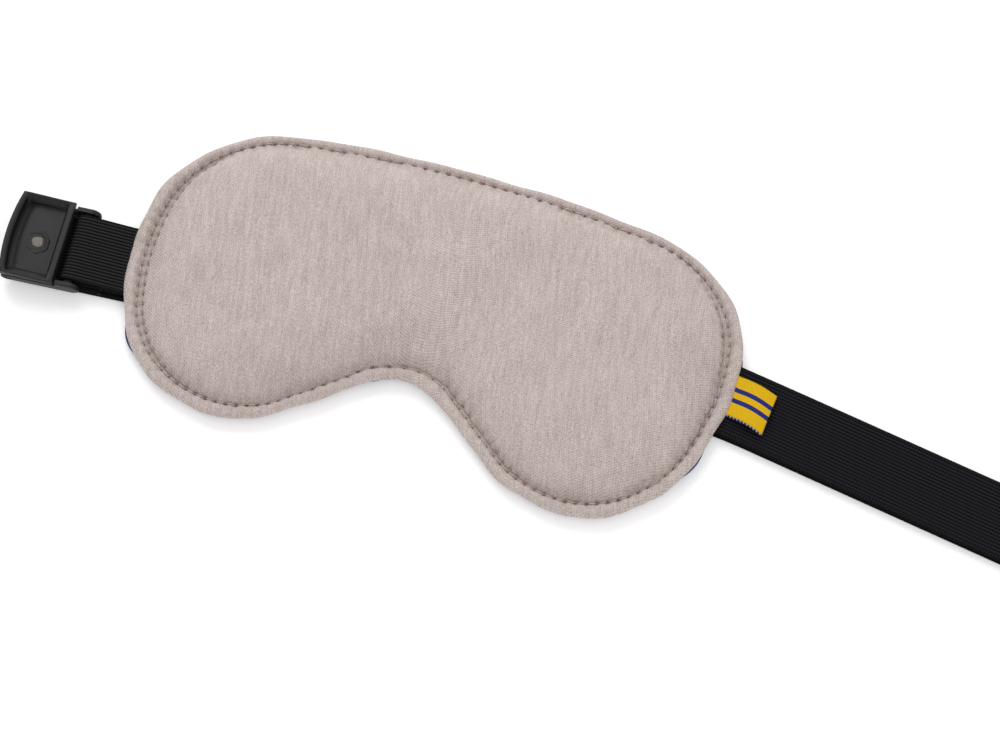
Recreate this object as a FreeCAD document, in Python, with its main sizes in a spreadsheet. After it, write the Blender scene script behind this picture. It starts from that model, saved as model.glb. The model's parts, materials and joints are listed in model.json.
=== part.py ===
import FreeCAD, Part
import math
import os
import Sketcher
from FreeCAD import Placement, Rotation, Vector

# Sleep eye mask, lying face up with its head strap folded flat underneath.
# X runs along the mask to the side with the label, Y to the forehead, Z up.
# The origin is under the middle of the mask, on the surface it rests on.
# Every length is in millimetres and every angle in degrees.

SIZES = [
    # the mask's outline: one set of tangent arcs, mirrored about its middle
    ("mask_width", 201.0, "side to side"),
    ("forehead", 51.9, "middle to the top edge"),
    ("brow_radius", 430.0, "top edge arc"),
    ("temple_radius", 45.0, "upper corner arc"),
    ("side_radius", 88.0, "side arc"),
    ("lobe_radius", 41.0, "cheek lobe arc"),
    ("lobe_in", 43.0, "cheek lobe centre, in from the mask's side"),
    ("lobe_y", -16.0, "cheek lobe centre, from the middle"),
    ("nose_y", -27.4, "top of the nose notch"),
    ("nose_radius", 18.0, "nose notch arc"),
    # layers of the mask
    ("flange_width", 4.5, "turned edge outside the topstitching"),
    ("pad_rise", 8.4, "pad's crown above the turned edge"),
    ("crown_radius", 7.0, "rounding of the pad's shoulder"),
    ("lining_cloth", 0.7, "back lining"),
    ("face_cloth", 0.9, "face fabric"),
    ("film", 0.25, "blackout interlining"),
    ("lay_gap", 0.1, "air between two layers"),
    ("rest_gap", 0.3, "air between parts that only lie on each other"),
    ("thread", 0.5, "sewing thread"),
    ("seam_inset", 1.0, "closing seam, in from the edge"),
    ("stitch_inset", 3.6, "topstitching, in from the edge"),
    # elastic
    ("elastic_width", 25.0, "both straps"),
    ("elastic", 1.2, "elastic thickness"),
    ("seam_depth", 2.5, "edge of the mask to the middle of a sewn tab"),
    ("tab_slack", 0.1, "air round a sewn tab"),
    ("right_y", -1.8, "head strap's tab, from the middle"),
    ("right_turn", 9.25, "head strap's slope towards the nose side"),
    ("strap_reach", 108.0, "head strap's tab to its fold"),
    ("left_y", -13.2, "short strap's tab, from the middle"),
    ("left_turn", 4.0, "short strap's slope"),
    ("strap_bend", 200.0, "bend of the strap under the mask"),
    ("tail_slope", 4.5, "run of the strap down through the slot"),
    ("tail", 12.5, "strap end past the slot"),
    # buckle
    ("bar_reach", 19.9, "short strap's tab to the buckle's end bar"),
    ("bar_width", 3.2, "end bar along the strap"),
    ("bar_thick", 2.0, "end bar upwards"),
    ("ear", 4.4, "wall past the middle of the end bar"),
    ("ear_rise", 0.2, "walls above the short strap's loop"),
    ("slot", 5.0, "gap between the end bar and the floor"),
    ("floor_length", 8.5, "floor under the jaw"),
    ("floor_thick", 1.2, "floor"),
    ("wall", 2.0, "side wall"),
    ("strap_play", 0.5, "strap edge to side wall"),
    ("pivot_reach", 4.8, "floor's nose to the lever's pivot"),
    ("knuckle", 2.2, "rounded wall round the pivot"),
    ("pin_radius", 1.5, "lever's trunnion"),
    ("pin_play", 0.05, "trunnion in its hole"),
    ("barrel_radius", 1.9, "lever's barrel between the walls"),
    ("move_gap", 0.3, "air between parts that move past each other"),
    # lever
    ("overhang", 3.5, "pivot to the curved end"),
    ("end_radius", 66.0, "curved end in plan"),
    ("rim", 2.0, "curved rim"),
    ("rail", 2.7, "side rail"),
    ("lip", 2.4, "thumb bar across the free end"),
    ("lip_gap", 1.2, "free end to the short strap's loop"),
    ("tray_floor", 1.1, "floor of the lever's recess"),
    ("rim_rise", 3.9, "rim above the lever's underside"),
    ("lip_rise", 2.9, "thumb bar above the lever's underside"),
    ("jaw_length", 4.4, "toothed jaw along the strap"),
    ("jaw_start", 1.8, "floor's nose to the jaw"),
    ("tooth", 0.6, "height of a jaw tooth"),
    ("gate_radius", 2.2, "moulding gate mark"),
    ("gate_depth", 0.25, "moulding gate mark"),
    ("edge_round", 0.4, "rounded edge of the moulded parts"),
    # label
    ("label_length", 13.6, "label out from the seam"),
    ("label_width", 15.6, "label along the seam"),
    ("label_y", -1.6, "middle of the label along the seam"),
    ("label_skew", 3.3, "free edge, towards the nose side"),
    ("label_thick", 0.8, "two woven layers"),
    ("label_gap", 0.7, "seam to the label's free part"),
]

doc = FreeCAD.newDocument("sleep_eye_mask")
sheet = doc.addObject("Spreadsheet::Sheet", "sizes")
for row, (alias, number, note) in enumerate(SIZES, 1):
    sheet.set(f"A{row}", alias)
    sheet.set(f"B{row}", str(number))
    sheet.set(f"C{row}", note)
    sheet.setAlias(f"B{row}", alias)
doc.recompute()


class Size:
    """A length or angle: its number now, and the spreadsheet formula that gives it."""

    def __init__(self, text, number):
        self.text = text
        self.number = number

    def join(self, sign, other, number):
        return Size(f"({self.text} {sign} {other.text})", number)

    def __add__(self, other):
        other = as_size(other)
        return self.join("+", other, self.number + other.number)

    def __sub__(self, other):
        other = as_size(other)
        return self.join("-", other, self.number - other.number)

    def __mul__(self, other):
        other = as_size(other)
        return self.join("*", other, self.number * other.number)

    def __truediv__(self, other):
        other = as_size(other)
        return self.join("/", other, self.number / other.number)

    def __neg__(self):
        return self * -1


def as_size(value):
    if isinstance(value, Size):
        return value
    return Size(f"({value})", float(value))


def named(alias):
    return Size(f"sizes.{alias}", float(sheet.get(alias)))


def sine(angle):
    return Size(f"sin({angle.text} * 1 deg)", math.sin(math.radians(angle.number)))


def cosine(angle):
    return Size(f"cos({angle.text} * 1 deg)", math.cos(math.radians(angle.number)))


def tangent(angle):
    return Size(f"tan({angle.text} * 1 deg)", math.tan(math.radians(angle.number)))


# ---- sketch and feature helpers -------------------------------------------

ORIGIN = (-1, 1)
CENTRE = 3
ZERO = as_size(0)


def new_body(label):
    body = doc.addObject("PartDesign::Body", label)
    body.Label = label
    return body


def sketch_on(body, plane, name, height=None):
    """An empty sketch on one of the body's own origin planes, lifted by height."""
    sketch = body.newObject("Sketcher::SketchObject", f"{body.Name}_{name}")
    support = next(f for f in body.Origin.OriginFeatures if f.Role == plane)
    sketch.AttachmentSupport = (support, [""])
    sketch.MapMode = "FlatFace"
    if height is not None:
        sketch.setExpression("AttachmentOffset.Base.z", height.text)
    return sketch


def bind(sketch, constraint, size):
    index = sketch.addConstraint(constraint)
    sketch.setExpression(f"Constraints[{index}]", size.text)


def fix_point(sketch, edge, point, across, up):
    """Hold one point of an edge at (across, up) from the sketch's origin."""
    if across is not None:
        bind(sketch, Sketcher.Constraint("DistanceX", *ORIGIN, edge, point, across.number), across)
    if up is not None:
        bind(sketch, Sketcher.Constraint("DistanceY", *ORIGIN, edge, point, up.number), up)


def loop(sketch, corners, arcs=None):
    """A closed loop through corners. arcs maps a side's number to its arc's
    centre and to +1 where the side runs anticlockwise, or -1."""
    arcs = arcs or {}
    count = len(corners)
    starts = []
    for side in range(count):
        here = Vector(corners[side][0].number, corners[side][1].number, 0)
        there = Vector(corners[(side + 1) % count][0].number, corners[(side + 1) % count][1].number, 0)
        if side in arcs:
            (centre_x, centre_y), turn = arcs[side]
            centre = Vector(centre_x.number, centre_y.number, 0)
            circle = Part.Circle(centre, Vector(0, 0, 1), (here - centre).Length)
            first, last = (here, there) if turn > 0 else (there, here)
            angles = [math.atan2(p.y - centre.y, p.x - centre.x) for p in (first, last)]
            if angles[1] <= angles[0]:
                angles[1] += 2 * math.pi
            edge = sketch.addGeometry(Part.ArcOfCircle(circle, *angles), False)
            if abs(here.y - there.y) < abs(here.x - there.x) * 1e-6:
                fix_point(sketch, edge, CENTRE, None, centre_y)
            else:
                fix_point(sketch, edge, CENTRE, centre_x, None)
            starts.append((edge, 1, 2) if turn > 0 else (edge, 2, 1))
        else:
            edge = sketch.addGeometry(Part.LineSegment(here, there), False)
            starts.append((edge, 1, 2))
    for side in range(count):
        edge, start, _ = starts[side]
        before, _, end = starts[side - 1]
        sketch.addConstraint(Sketcher.Constraint("Coincident", before, end, edge, start))
        fix_point(sketch, edge, start, *corners[side])


def rectangle(sketch, low_x, low_y, high_x, high_y):
    loop(sketch, [(low_x, low_y), (high_x, low_y), (high_x, high_y), (low_x, high_y)])


def circle(sketch, across, up, radius):
    shape = Part.Circle(Vector(across.number, up.number, 0), Vector(0, 0, 1), radius.number)
    edge = sketch.addGeometry(shape, False)
    fix_point(sketch, edge, CENTRE, across, up)
    bind(sketch, Sketcher.Constraint("Radius", edge, radius.number), radius)


def pad(body, sketch, length, both_ways=False):
    feature = body.newObject("PartDesign::Pad", f"{sketch.Name}_pad")
    feature.Profile = sketch
    feature.Midplane = both_ways
    feature.setExpression("Length", length.text)
    return feature


def pocket(body, sketch, depth, both_ways=False, turned=False):
    """Cut the sketch out of the body, and stop if nothing was cut."""
    doc.recompute()
    before = body.Shape.Volume
    feature = body.newObject("PartDesign::Pocket", f"{sketch.Name}_pocket")
    feature.Profile = sketch
    feature.Midplane = both_ways
    feature.Reversed = turned
    feature.setExpression("Length", depth.text)
    doc.recompute()
    if body.Shape.Volume > before - 1e-6:
        raise RuntimeError(f"{feature.Name} cuts nothing")
    return feature


def round_edges(body, feature, chosen, radius):
    """Fillet the edges of feature for which chosen(edge) is true."""
    doc.recompute()
    names = [f"Edge{i}" for i, edge in enumerate(feature.Shape.Edges, 1) if chosen(edge)]
    fillet = body.newObject("PartDesign::Fillet", f"{feature.Name}_round")
    fillet.Base = (feature, names)
    fillet.setExpression("Radius", radius.text)
    return fillet


def level_at(height):
    """True for an edge that lies at this height."""
    return lambda edge: max(abs(v.Point.z - height.number) for v in edge.Vertexes) < 1e-4


def turned(piece, across, along, angle, clockwise=False):
    """Place a piece at (across, along), turned about Z by angle."""
    axis = Vector(0, 0, -1 if clockwise else 1)
    piece.Placement = Placement(Vector(), Rotation(axis, angle.number))
    piece.setExpression("Placement.Rotation.Angle", angle.text)
    piece.setExpression("Placement.Base.x", across.text)
    piece.setExpression("Placement.Base.y", along.text)


# ---- the mask's outline -----------------------------------------------------

half_width = named("mask_width") / 2
brow_r, temple_r = named("brow_radius"), named("temple_radius")
side_r, lobe_r = named("side_radius"), named("lobe_radius")
nose_r = named("nose_radius")
brow_y = named("forehead") - brow_r
side_x = half_width - side_r
lobe_x = half_width - named("lobe_in")
nose_centre_y = named("nose_y") - nose_r


def outline_angles():
    """Where the arcs meet, as directions from the arcs' centres, on the +X half."""
    lobe = Vector(lobe_x.number, named("lobe_y").number, 0)
    brow = Vector(0, brow_y.number, 0)
    nose = Vector(0, nose_centre_y.number, 0)
    step = side_r.number - lobe_r.number
    side = Vector(side_x.number, lobe.y + math.sqrt(step ** 2 - (lobe.x - side_x.number) ** 2), 0)
    # the temple's centre lies on two circles, one round the side's and one round the brow's centre
    to_side = side_r.number - temple_r.number
    to_brow = brow_r.number - temple_r.number
    apart = brow.sub(side)
    along = (to_side ** 2 - to_brow ** 2 + apart.Length ** 2) / (2 * apart.Length)
    across = math.sqrt(to_side ** 2 - along ** 2)
    unit = Vector(apart).normalize()
    temple = side + unit * along + Vector(-unit.y, unit.x, 0) * across
    # the straight stretch touches the nose arc from above and the lobe arc from below
    reach = lobe.sub(nose)
    normal = math.atan2(reach.y, reach.x) + math.acos((nose_r.number + lobe_r.number) / reach.Length)
    heading = lambda start, end: math.atan2(end.y - start.y, end.x - start.x)
    return {
        "lobe": lobe, "side": side, "temple": temple, "brow": brow, "nose": nose, "normal": normal,
        "lobe_side": heading(side, lobe),
        "side_temple": heading(side, temple),
        "temple_brow": heading(brow, temple),
    }


def mask_outline(sketch, inset):
    """The outline, this far in from the mask's edge. All its arcs keep their centres."""
    at = outline_angles()
    half_turn = math.pi

    def arc(centre, radius, start, end):
        shape = Part.ArcOfCircle(Part.Circle(centre, Vector(0, 0, 1), radius.number), start, end)
        edge = sketch.addGeometry(shape, False)
        bind(sketch, Sketcher.Constraint("Radius", edge, radius.number), radius)
        return edge

    def mirrored(point):
        return Vector(-point.x, point.y, 0)

    def on(centre, radius, angle):
        return centre + Vector(math.cos(angle), math.sin(angle), 0) * radius

    brow = arc(at["brow"], brow_r - inset, at["temple_brow"], half_turn - at["temple_brow"])
    nose = arc(at["nose"], nose_r + inset, at["normal"], half_turn - at["normal"])
    fix_point(sketch, brow, CENTRE, ZERO, brow_y)
    fix_point(sketch, nose, CENTRE, ZERO, nose_centre_y)
    joints = []
    touch = at["normal"] - half_turn
    for right in (True, False):
        spans = [(at["lobe_side"], at["side_temple"]), (at["side_temple"], at["temple_brow"]),
                 (touch, at["lobe_side"])]
        centres = [at["side"], at["temple"], at["lobe"]]
        nose_point = on(at["nose"], (nose_r + inset).number, at["normal"])
        lobe_point = on(at["lobe"], (lobe_r - inset).number, touch)
        if not right:
            spans = [(half_turn - last, half_turn - first) for first, last in spans]
            centres = [mirrored(c) for c in centres]
            nose_point, lobe_point = mirrored(nose_point), mirrored(lobe_point)
        side = arc(centres[0], side_r - inset, *spans[0])
        temple = arc(centres[1], temple_r - inset, *spans[1])
        lobe = arc(centres[2], lobe_r - inset, *spans[2])
        line = sketch.addGeometry(Part.LineSegment(nose_point, lobe_point), False)
        sign = 1 if right else -1
        fix_point(sketch, side, CENTRE, side_x * sign, None)
        fix_point(sketch, lobe, CENTRE, lobe_x * sign, named("lobe_y"))
        first, last = (1, 2) if right else (2, 1)
        joints += [(side, last, temple, first), (temple, last, brow, first), (nose, first, line, 1),
                   (line, 2, lobe, first), (lobe, last, side, first)]
    for joint in joints:
        sketch.addConstraint(Sketcher.Constraint("Tangent", *joint))


# ---- the mask: two cloths, film, foam and thread ------------------------------

elastic = named("elastic")
lining_bottom = elastic + named("rest_gap")
lining_top = lining_bottom + named("lining_cloth")
film_top = lining_top + named("film")
flange, face_cloth, lay_gap = named("flange_width"), named("face_cloth"), named("lay_gap")
flange_top = lining_top + elastic * 2 + named("tab_slack") + face_cloth
pad_top = flange_top + named("pad_rise")
foam_inset = flange + face_cloth + lay_gap
thread = named("thread")


def plate(label, inset, bottom, thickness):
    body = new_body(label)
    sketch = sketch_on(body, "XY_Plane", "outline", bottom)
    mask_outline(sketch, inset)
    pad(body, sketch, thickness)
    return body


def ring(label, inset, bottom, thickness):
    """A band of thread round the mask, one thread wide."""
    body = new_body(label)
    sketch = sketch_on(body, "XY_Plane", "band", bottom)
    mask_outline(sketch, inset)
    mask_outline(sketch, inset + thread)
    pad(body, sketch, thickness)
    return body


def crowned_block(label, inset, bottom, top, shoulder):
    body = new_body(label)
    sketch = sketch_on(body, "XY_Plane", "outline", bottom)
    mask_outline(sketch, inset)
    block = pad(body, sketch, top - bottom)
    round_edges(body, block, level_at(top), shoulder)
    return body


def lining_panel():
    """The back lining, with the closing seam's thread sunk in its upper side."""
    body = plate("lining_panel", ZERO, lining_bottom, named("lining_cloth"))
    groove = sketch_on(body, "XY_Plane", "seam_groove", lining_top)
    mask_outline(groove, named("seam_inset"))
    mask_outline(groove, named("seam_inset") + thread)
    pocket(body, groove, thread / 2)
    return body


def tab_in(turn):
    """How far a strap's tab reaches in from its middle, its corner just short of the foam."""
    corner = named("elastic_width") / 2 * sine(turn)
    return foam_inset - named("seam_depth") - corner - lay_gap


def seam_slot(label, side, turn, top):
    """The space that a strap's sewn tab takes up in the mask's edge."""
    body = new_body(label)
    sketch = sketch_on(body, "XY_Plane", "slot", lining_top)
    half = named("elastic_width") / 2 + named("tab_slack")
    inner = tab_in(turn) + named("tab_slack")
    outer = named("seam_depth") * 3
    if side > 0:
        rectangle(sketch, -inner, -half, outer, half)
    else:
        rectangle(sketch, -outer, -half, inner, half)
    pad(body, sketch, top - lining_top)
    return body


def face_panel():
    """The face fabric: a turned edge round a crowned pad, hollow over the foam."""
    body = new_body("face_solid")
    edge = sketch_on(body, "XY_Plane", "edge", lining_top)
    mask_outline(edge, ZERO)
    rim = pad(body, edge, flange_top - lining_top)
    round_edges(body, rim, level_at(flange_top), face_cloth)
    crown = sketch_on(body, "XY_Plane", "crown", lining_top)
    mask_outline(crown, flange)
    dome = pad(body, crown, pad_top - lining_top)
    round_edges(body, dome, level_at(pad_top), named("crown_radius"))
    hollow = crowned_block("foam_space", flange + face_cloth, lining_top, pad_top - face_cloth,
                           named("crown_radius") - face_cloth)
    left = seam_slot("short_strap_space", -1, left_turn, lining_top + elastic * 2 + named("tab_slack"))
    turned(left, left_x, left_y, left_turn)
    right = seam_slot("head_strap_space", 1, right_turn, lining_top + elastic + named("tab_slack"))
    turned(right, right_x, right_y, right_turn, clockwise=True)
    spaces = doc.addObject("Part::MultiFuse", "spaces")
    spaces.Shapes = [hollow, left, right]
    panel = doc.addObject("Part::Cut", "face_panel")
    panel.Base = body
    panel.Tool = spaces
    panel.Label = "face_panel"
    return panel


# ---- straps -------------------------------------------------------------------
# Each strap has a line of its own: u runs along it, away from the buckle.

left_x = named("seam_depth") - half_width
left_y = named("left_y")
left_turn = named("left_turn")
right_x = half_width - named("seam_depth")
right_y = named("right_y")
right_turn = named("right_turn")

bar_u = -named("bar_reach")
bar_left = bar_u - named("bar_width") / 2
floor_right = bar_left - named("slot")
floor_left = floor_right - named("floor_length")
pivot_u = floor_left - named("pivot_reach")
floor_bottom = elastic + named("rest_gap")
floor_top = floor_bottom + named("floor_thick")
run_bottom = floor_top + named("rest_gap")
run_top = run_bottom + elastic
tail_bottom = elastic + lay_gap * 2
tail_top = tail_bottom + elastic
tail_start = floor_right + named("tail_slope")
tail_end = tail_start + named("tail")
bar_r = named("bar_thick") / 2
loop_in = bar_r + lay_gap
loop_out = loop_in + elastic
bar_z = tail_top + lay_gap * 2 + loop_out
ear_top = bar_z + loop_out + named("ear_rise")
turn_r = run_top / 2
turn_u = floor_left + turn_r - elastic - named("move_gap")


def strap_bend():
    """Where the head strap bends in plan under the mask: its start on the left
    strap's line, its end on the right strap's line, and its centre."""
    total = left_turn + right_turn
    gap_x = left_x - right_x
    gap_y = left_y - right_y
    on_right = (gap_x * sine(left_turn) - gap_y * cosine(left_turn)) / sine(total)
    on_left = (gap_x * -sine(right_turn) - gap_y * cosine(right_turn)) / sine(total)
    reach = named("strap_bend") * tangent(total / 2)
    start = on_left - reach
    end = on_right + reach
    radius = named("strap_bend")
    centre_x = left_x + start * cosine(left_turn) + radius * sine(left_turn)
    centre_y = left_y + start * sine(left_turn) - radius * cosine(left_turn)
    return start, end, centre_x, centre_y, total


def head_strap():
    """One elastic: right tab, fold, back under the mask, round the buckle's floor."""
    start, end, centre_x, centre_y, total = strap_bend()
    width = named("elastic_width")
    level = lining_top
    reach = named("strap_reach")
    middle = (level + elastic) / 2

    fold = new_body("strap_fold")
    side = sketch_on(fold, "XZ_Plane", "side")
    tab = tab_in(right_turn)
    corners = [(end, ZERO), (reach, ZERO), (reach, level + elastic), (-tab, level + elastic),
               (-tab, level), (reach, level), (reach, elastic), (end, elastic)]
    loop(side, corners, {1: ((reach, middle), 1), 5: ((reach, middle), -1)})
    pad(fold, side, width, both_ways=True)
    turned(fold, right_x, right_y, right_turn, clockwise=True)

    bend = new_body("strap_bend")
    section = sketch_on(bend, "YZ_Plane", "section")
    radius = named("strap_bend")
    rectangle(section, radius - width / 2, ZERO, radius + width / 2, elastic)
    sweep = bend.newObject("PartDesign::Revolution", "strap_bend_turn")
    sweep.Profile = section
    sweep.ReferenceAxis = (section, ["V_Axis"])
    sweep.Reversed = True
    sweep.setExpression("Angle", total.text)
    turned(bend, centre_x, centre_y, left_turn)

    threaded = new_body("strap_threaded")
    side = sketch_on(threaded, "XZ_Plane", "side")
    corners = [(start, ZERO), (start, elastic), (turn_u, elastic), (turn_u, run_bottom),
               (floor_right, run_bottom), (tail_start, tail_bottom), (tail_end, tail_bottom),
               (tail_end, tail_top), (tail_start, tail_top), (floor_right, run_top),
               (turn_u, run_top), (turn_u, ZERO)]
    loop(side, corners, {2: ((turn_u, turn_r), -1), 10: ((turn_u, turn_r), 1)})
    pad(threaded, side, width, both_ways=True)
    turned(threaded, left_x, left_y, left_turn)

    strap = doc.addObject("Part::MultiFuse", "head_strap")
    strap.Shapes = [fold, bend, threaded]
    strap.Refine = True
    strap.Label = "head_strap"
    return strap


def strap_end_overlock():
    """Thread cast over the cut end of the head strap."""
    body = new_body("strap_end_overlock")
    sketch = sketch_on(body, "XZ_Plane", "side")
    rectangle(sketch, tail_end, tail_bottom, tail_end + thread, tail_top)
    pad(body, sketch, named("elastic_width"), both_ways=True)
    turned(body, left_x, left_y, left_turn)
    return body


def short_strap():
    """A doubled elastic: both ends sewn into the mask, its loop round the end bar."""
    body = new_body("short_strap")
    side = sketch_on(body, "XZ_Plane", "side")
    turn = bar_left + bar_r
    ramp = bar_u + named("bar_width") / 2
    tab = tab_in(left_turn)
    edge = -named("seam_depth") - lay_gap
    meet = tail_end + named("rest_gap") + thread + lay_gap
    low = lining_top
    high = lining_top + elastic * 2
    corners = [(tab, low), (tab, high), (edge, high), (meet, bar_z - loop_in + elastic),
               (ramp, bar_z + loop_out), (turn, bar_z + loop_out), (turn, bar_z - loop_out),
               (meet, bar_z - loop_out), (edge, low)]
    loop(side, corners, {5: ((turn, bar_z), 1)})
    hole = [(meet, bar_z - loop_in), (ramp, bar_z + loop_in), (turn, bar_z + loop_in),
            (turn, bar_z - loop_in)]
    loop(side, hole, {2: ((turn, bar_z), 1)})
    pad(body, side, named("elastic_width"), both_ways=True)
    turned(body, left_x, left_y, left_turn)
    return body


# ---- buckle ---------------------------------------------------------------------

inner_half = named("elastic_width") / 2 + named("strap_play")
outer_half = inner_half + named("wall")
knuckle = named("knuckle")
pivot_z = floor_bottom + knuckle
wall_top = pivot_z + knuckle
lever_bottom = wall_top + named("move_gap")
lever_right = bar_left - lay_gap - elastic - named("lip_gap")
lever_left = pivot_u - named("overhang")
ear_right = bar_u + named("ear")


def buckle_body():
    """Two walls joined by the end bar and by the floor that the strap is pinched on."""
    body = new_body("buckle_body")
    side = sketch_on(body, "XZ_Plane", "wall")
    ear_left = lever_right + named("move_gap") * 2
    ear_r = (ear_top - floor_bottom) / 2
    ear_mid = floor_bottom + ear_r
    corners = [(pivot_u, floor_bottom), (ear_right - ear_r, floor_bottom), (ear_right - ear_r, ear_top),
               (ear_left, ear_top), (ear_left, wall_top), (pivot_u, wall_top)]
    loop(side, corners, {1: ((ear_right - ear_r, ear_mid), 1), 5: ((pivot_u, pivot_z), 1)})
    block = pad(body, side, outer_half * 2, both_ways=True)
    round_edges(body, block, lambda edge: abs(abs(edge.CenterOfMass.y) - outer_half.number) < 1e-4,
                named("edge_round"))

    inside = sketch_on(body, "XZ_Plane", "inside")
    clear = knuckle * 2
    rectangle(inside, pivot_u - clear, floor_bottom - clear, ear_right + clear, ear_top + clear)
    blunt = named("floor_thick") / 2
    loop(inside, [(floor_left + blunt, floor_bottom), (floor_right, floor_bottom),
                  (floor_right, floor_top), (floor_left + blunt, floor_top)],
         {3: ((floor_left + blunt, floor_bottom + blunt), 1)})
    bar_right = bar_u + named("bar_width") / 2
    loop(inside, [(bar_left + bar_r, bar_z - bar_r), (bar_right - bar_r, bar_z - bar_r),
                  (bar_right - bar_r, bar_z + bar_r), (bar_left + bar_r, bar_z + bar_r)],
         {1: ((bar_right - bar_r, bar_z), 1), 3: ((bar_left + bar_r, bar_z), 1)})
    pocket(body, inside, inner_half * 2, both_ways=True)

    holes = sketch_on(body, "XZ_Plane", "pivot_holes")
    circle(holes, pivot_u, pivot_z, named("pin_radius") + named("pin_play"))
    pocket(body, holes, outer_half * 2 + 2, both_ways=True)
    turned(body, left_x, left_y, left_turn)
    return body


def buckle_lever():
    """A dished lever with a curved end, a thumb bar, a barrel with trunnions and a jaw."""
    body = new_body("buckle_lever")
    top = lever_bottom + named("rim_rise")
    end_r = named("end_radius")
    sag = math.sqrt(end_r.number ** 2 - outer_half.number ** 2)
    sag = Size(f"sqrt({end_r.text} ^ 2 - {outer_half.text} ^ 2)", sag)
    corner_u = lever_left + end_r - sag
    plan = sketch_on(body, "XY_Plane", "plan", lever_bottom)
    loop(plan, [(lever_right, -outer_half), (lever_right, outer_half),
                (corner_u, outer_half), (corner_u, -outer_half)],
         {2: ((lever_left + end_r, ZERO), 1)})
    block = pad(body, plan, top - lever_bottom)

    slope = sketch_on(body, "XZ_Plane", "slope")
    rim_right = lever_left + named("rim")
    loop(slope, [(rim_right, top), (lever_right - 1, lever_bottom + named("lip_rise")),
                 (lever_right + 1, lever_bottom + named("lip_rise")), (lever_right + 1, top + 1),
                 (rim_right, top + 1)])
    sloped = pocket(body, slope, outer_half * 2 + 2, both_ways=True)
    round_edges(body, sloped, lambda edge: edge.CenterOfMass.z > lever_bottom.number + 0.1,
                named("edge_round"))

    recess = sketch_on(body, "XY_Plane", "recess", top + 1)
    inside = outer_half - named("rail")
    rectangle(recess, corner_u + named("rim") * 2 / 3, -inside, lever_right - named("lip"), inside)
    pocket(body, recess, top + 1 - lever_bottom - named("tray_floor"))

    gate = sketch_on(body, "XY_Plane", "gate", top + 1)
    gate_u = (corner_u + lever_right) / 2 + 1
    circle(gate, gate_u, ZERO, named("gate_radius"))
    pocket(body, gate, top + 1 - lever_bottom - named("tray_floor") + named("gate_depth"))

    barrel = sketch_on(body, "XZ_Plane", "barrel")
    circle(barrel, pivot_u, pivot_z, named("barrel_radius"))
    pad(body, barrel, (inner_half - named("move_gap")) * 2, both_ways=True)
    web = sketch_on(body, "XZ_Plane", "web")
    half_web = named("barrel_radius") * 0.8
    rectangle(web, pivot_u - half_web, pivot_z, pivot_u + half_web, lever_bottom + named("tray_floor") / 2)
    pad(body, web, (inner_half - named("move_gap")) * 2, both_ways=True)
    pins = sketch_on(body, "XZ_Plane", "trunnions")
    circle(pins, pivot_u, pivot_z, named("pin_radius"))
    pad(body, pins, outer_half * 2, both_ways=True)

    jaw = sketch_on(body, "XZ_Plane", "jaw")
    jaw_left = floor_left + named("jaw_start")
    tip = run_top + named("move_gap")
    root = tip + named("tooth")
    teeth = 4
    pitch = named("jaw_length") / teeth
    under = lever_bottom + named("tray_floor") / 2
    corners = [(jaw_left, under)]
    for count in range(teeth):
        corners.append((jaw_left + pitch * count, tip))
        corners.append((jaw_left + pitch * (count + 0.75), root))
    corners.append((jaw_left + named("jaw_length"), under))
    loop(jaw, corners)
    pad(body, jaw, (inner_half - named("move_gap")) * 2, both_ways=True)
    turned(body, left_x, left_y, left_turn)
    return body


def side_label():
    """A folded woven label, lying on the head strap beside the seam."""
    body = new_body("side_label")
    sketch = sketch_on(body, "XY_Plane", "plan", lining_top + elastic + named("move_gap"))
    near = half_width + named("label_gap")
    far = near + named("label_length")
    high = named("label_y") + named("label_width") / 2
    low = named("label_y") - named("label_width") / 2
    skew = named("label_skew")
    loop(sketch, [(near, low), (far, low - skew), (far, high - skew), (near, high)])
    pad(body, sketch, named("label_thick"))
    return body


nodes = [
    face_panel(),
    lining_panel(),
    crowned_block("foam_pad", foam_inset, film_top + lay_gap, pad_top - face_cloth - lay_gap,
                  named("crown_radius") - face_cloth - lay_gap),
    plate("blackout_interlining", foam_inset, lining_top, named("film")),
    ring("seam_thread", named("seam_inset"), lining_top - thread / 2, thread / 2),
    ring("topstitch_thread", named("stitch_inset"), flange_top, thread / 2),
    short_strap(),
    head_strap(),
    strap_end_overlock(),
    side_label(),
    buckle_body(),
    buckle_lever(),
]
doc.recompute()

# ---- checks and files -------------------------------------------------------------

for item in doc.Objects:
    faults = [state for state in item.State if state in ("Invalid", "Error")]
    if faults:
        raise RuntimeError(f"{item.Name} is {faults}")

os.makedirs("parts", exist_ok=True)
for node in nodes:
    shape = node.Shape
    if shape.isNull() or not shape.isValid() or not shape.Solids:
        raise RuntimeError(f"{node.Label} has no valid solid")
    shape.exportStep(os.path.join("parts", f"{node.Label}.step"))
    box = shape.BoundBox
    print(f"{node.Label}: {len(shape.Solids)} solid, {shape.Volume:.1f} mm3, "
          f"x {box.XMin:.2f} to {box.XMax:.2f}, y {box.YMin:.2f} to {box.YMax:.2f}, "
          f"z {box.ZMin:.2f} to {box.ZMax:.2f}")
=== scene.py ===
# %% [markdown]
# # A sleep eye mask, dressed around its CAD frame
# The CAD model holds the sizes, the straps' route and the two things that turn:
# the buckle's lever and the side label. Blender adds what a hand would feel:
# puffy jersey, puckered topstitching, ribbed elastic and moulded plastic.
# Everything is in metres, in the CAD model's own frame, so nothing is fitted.

# %% Load the frame
import json
import math
import random

import bmesh
import bpy
from mathutils import Matrix, Vector
from mathutils import noise
from mathutils.kdtree import KDTree


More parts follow.
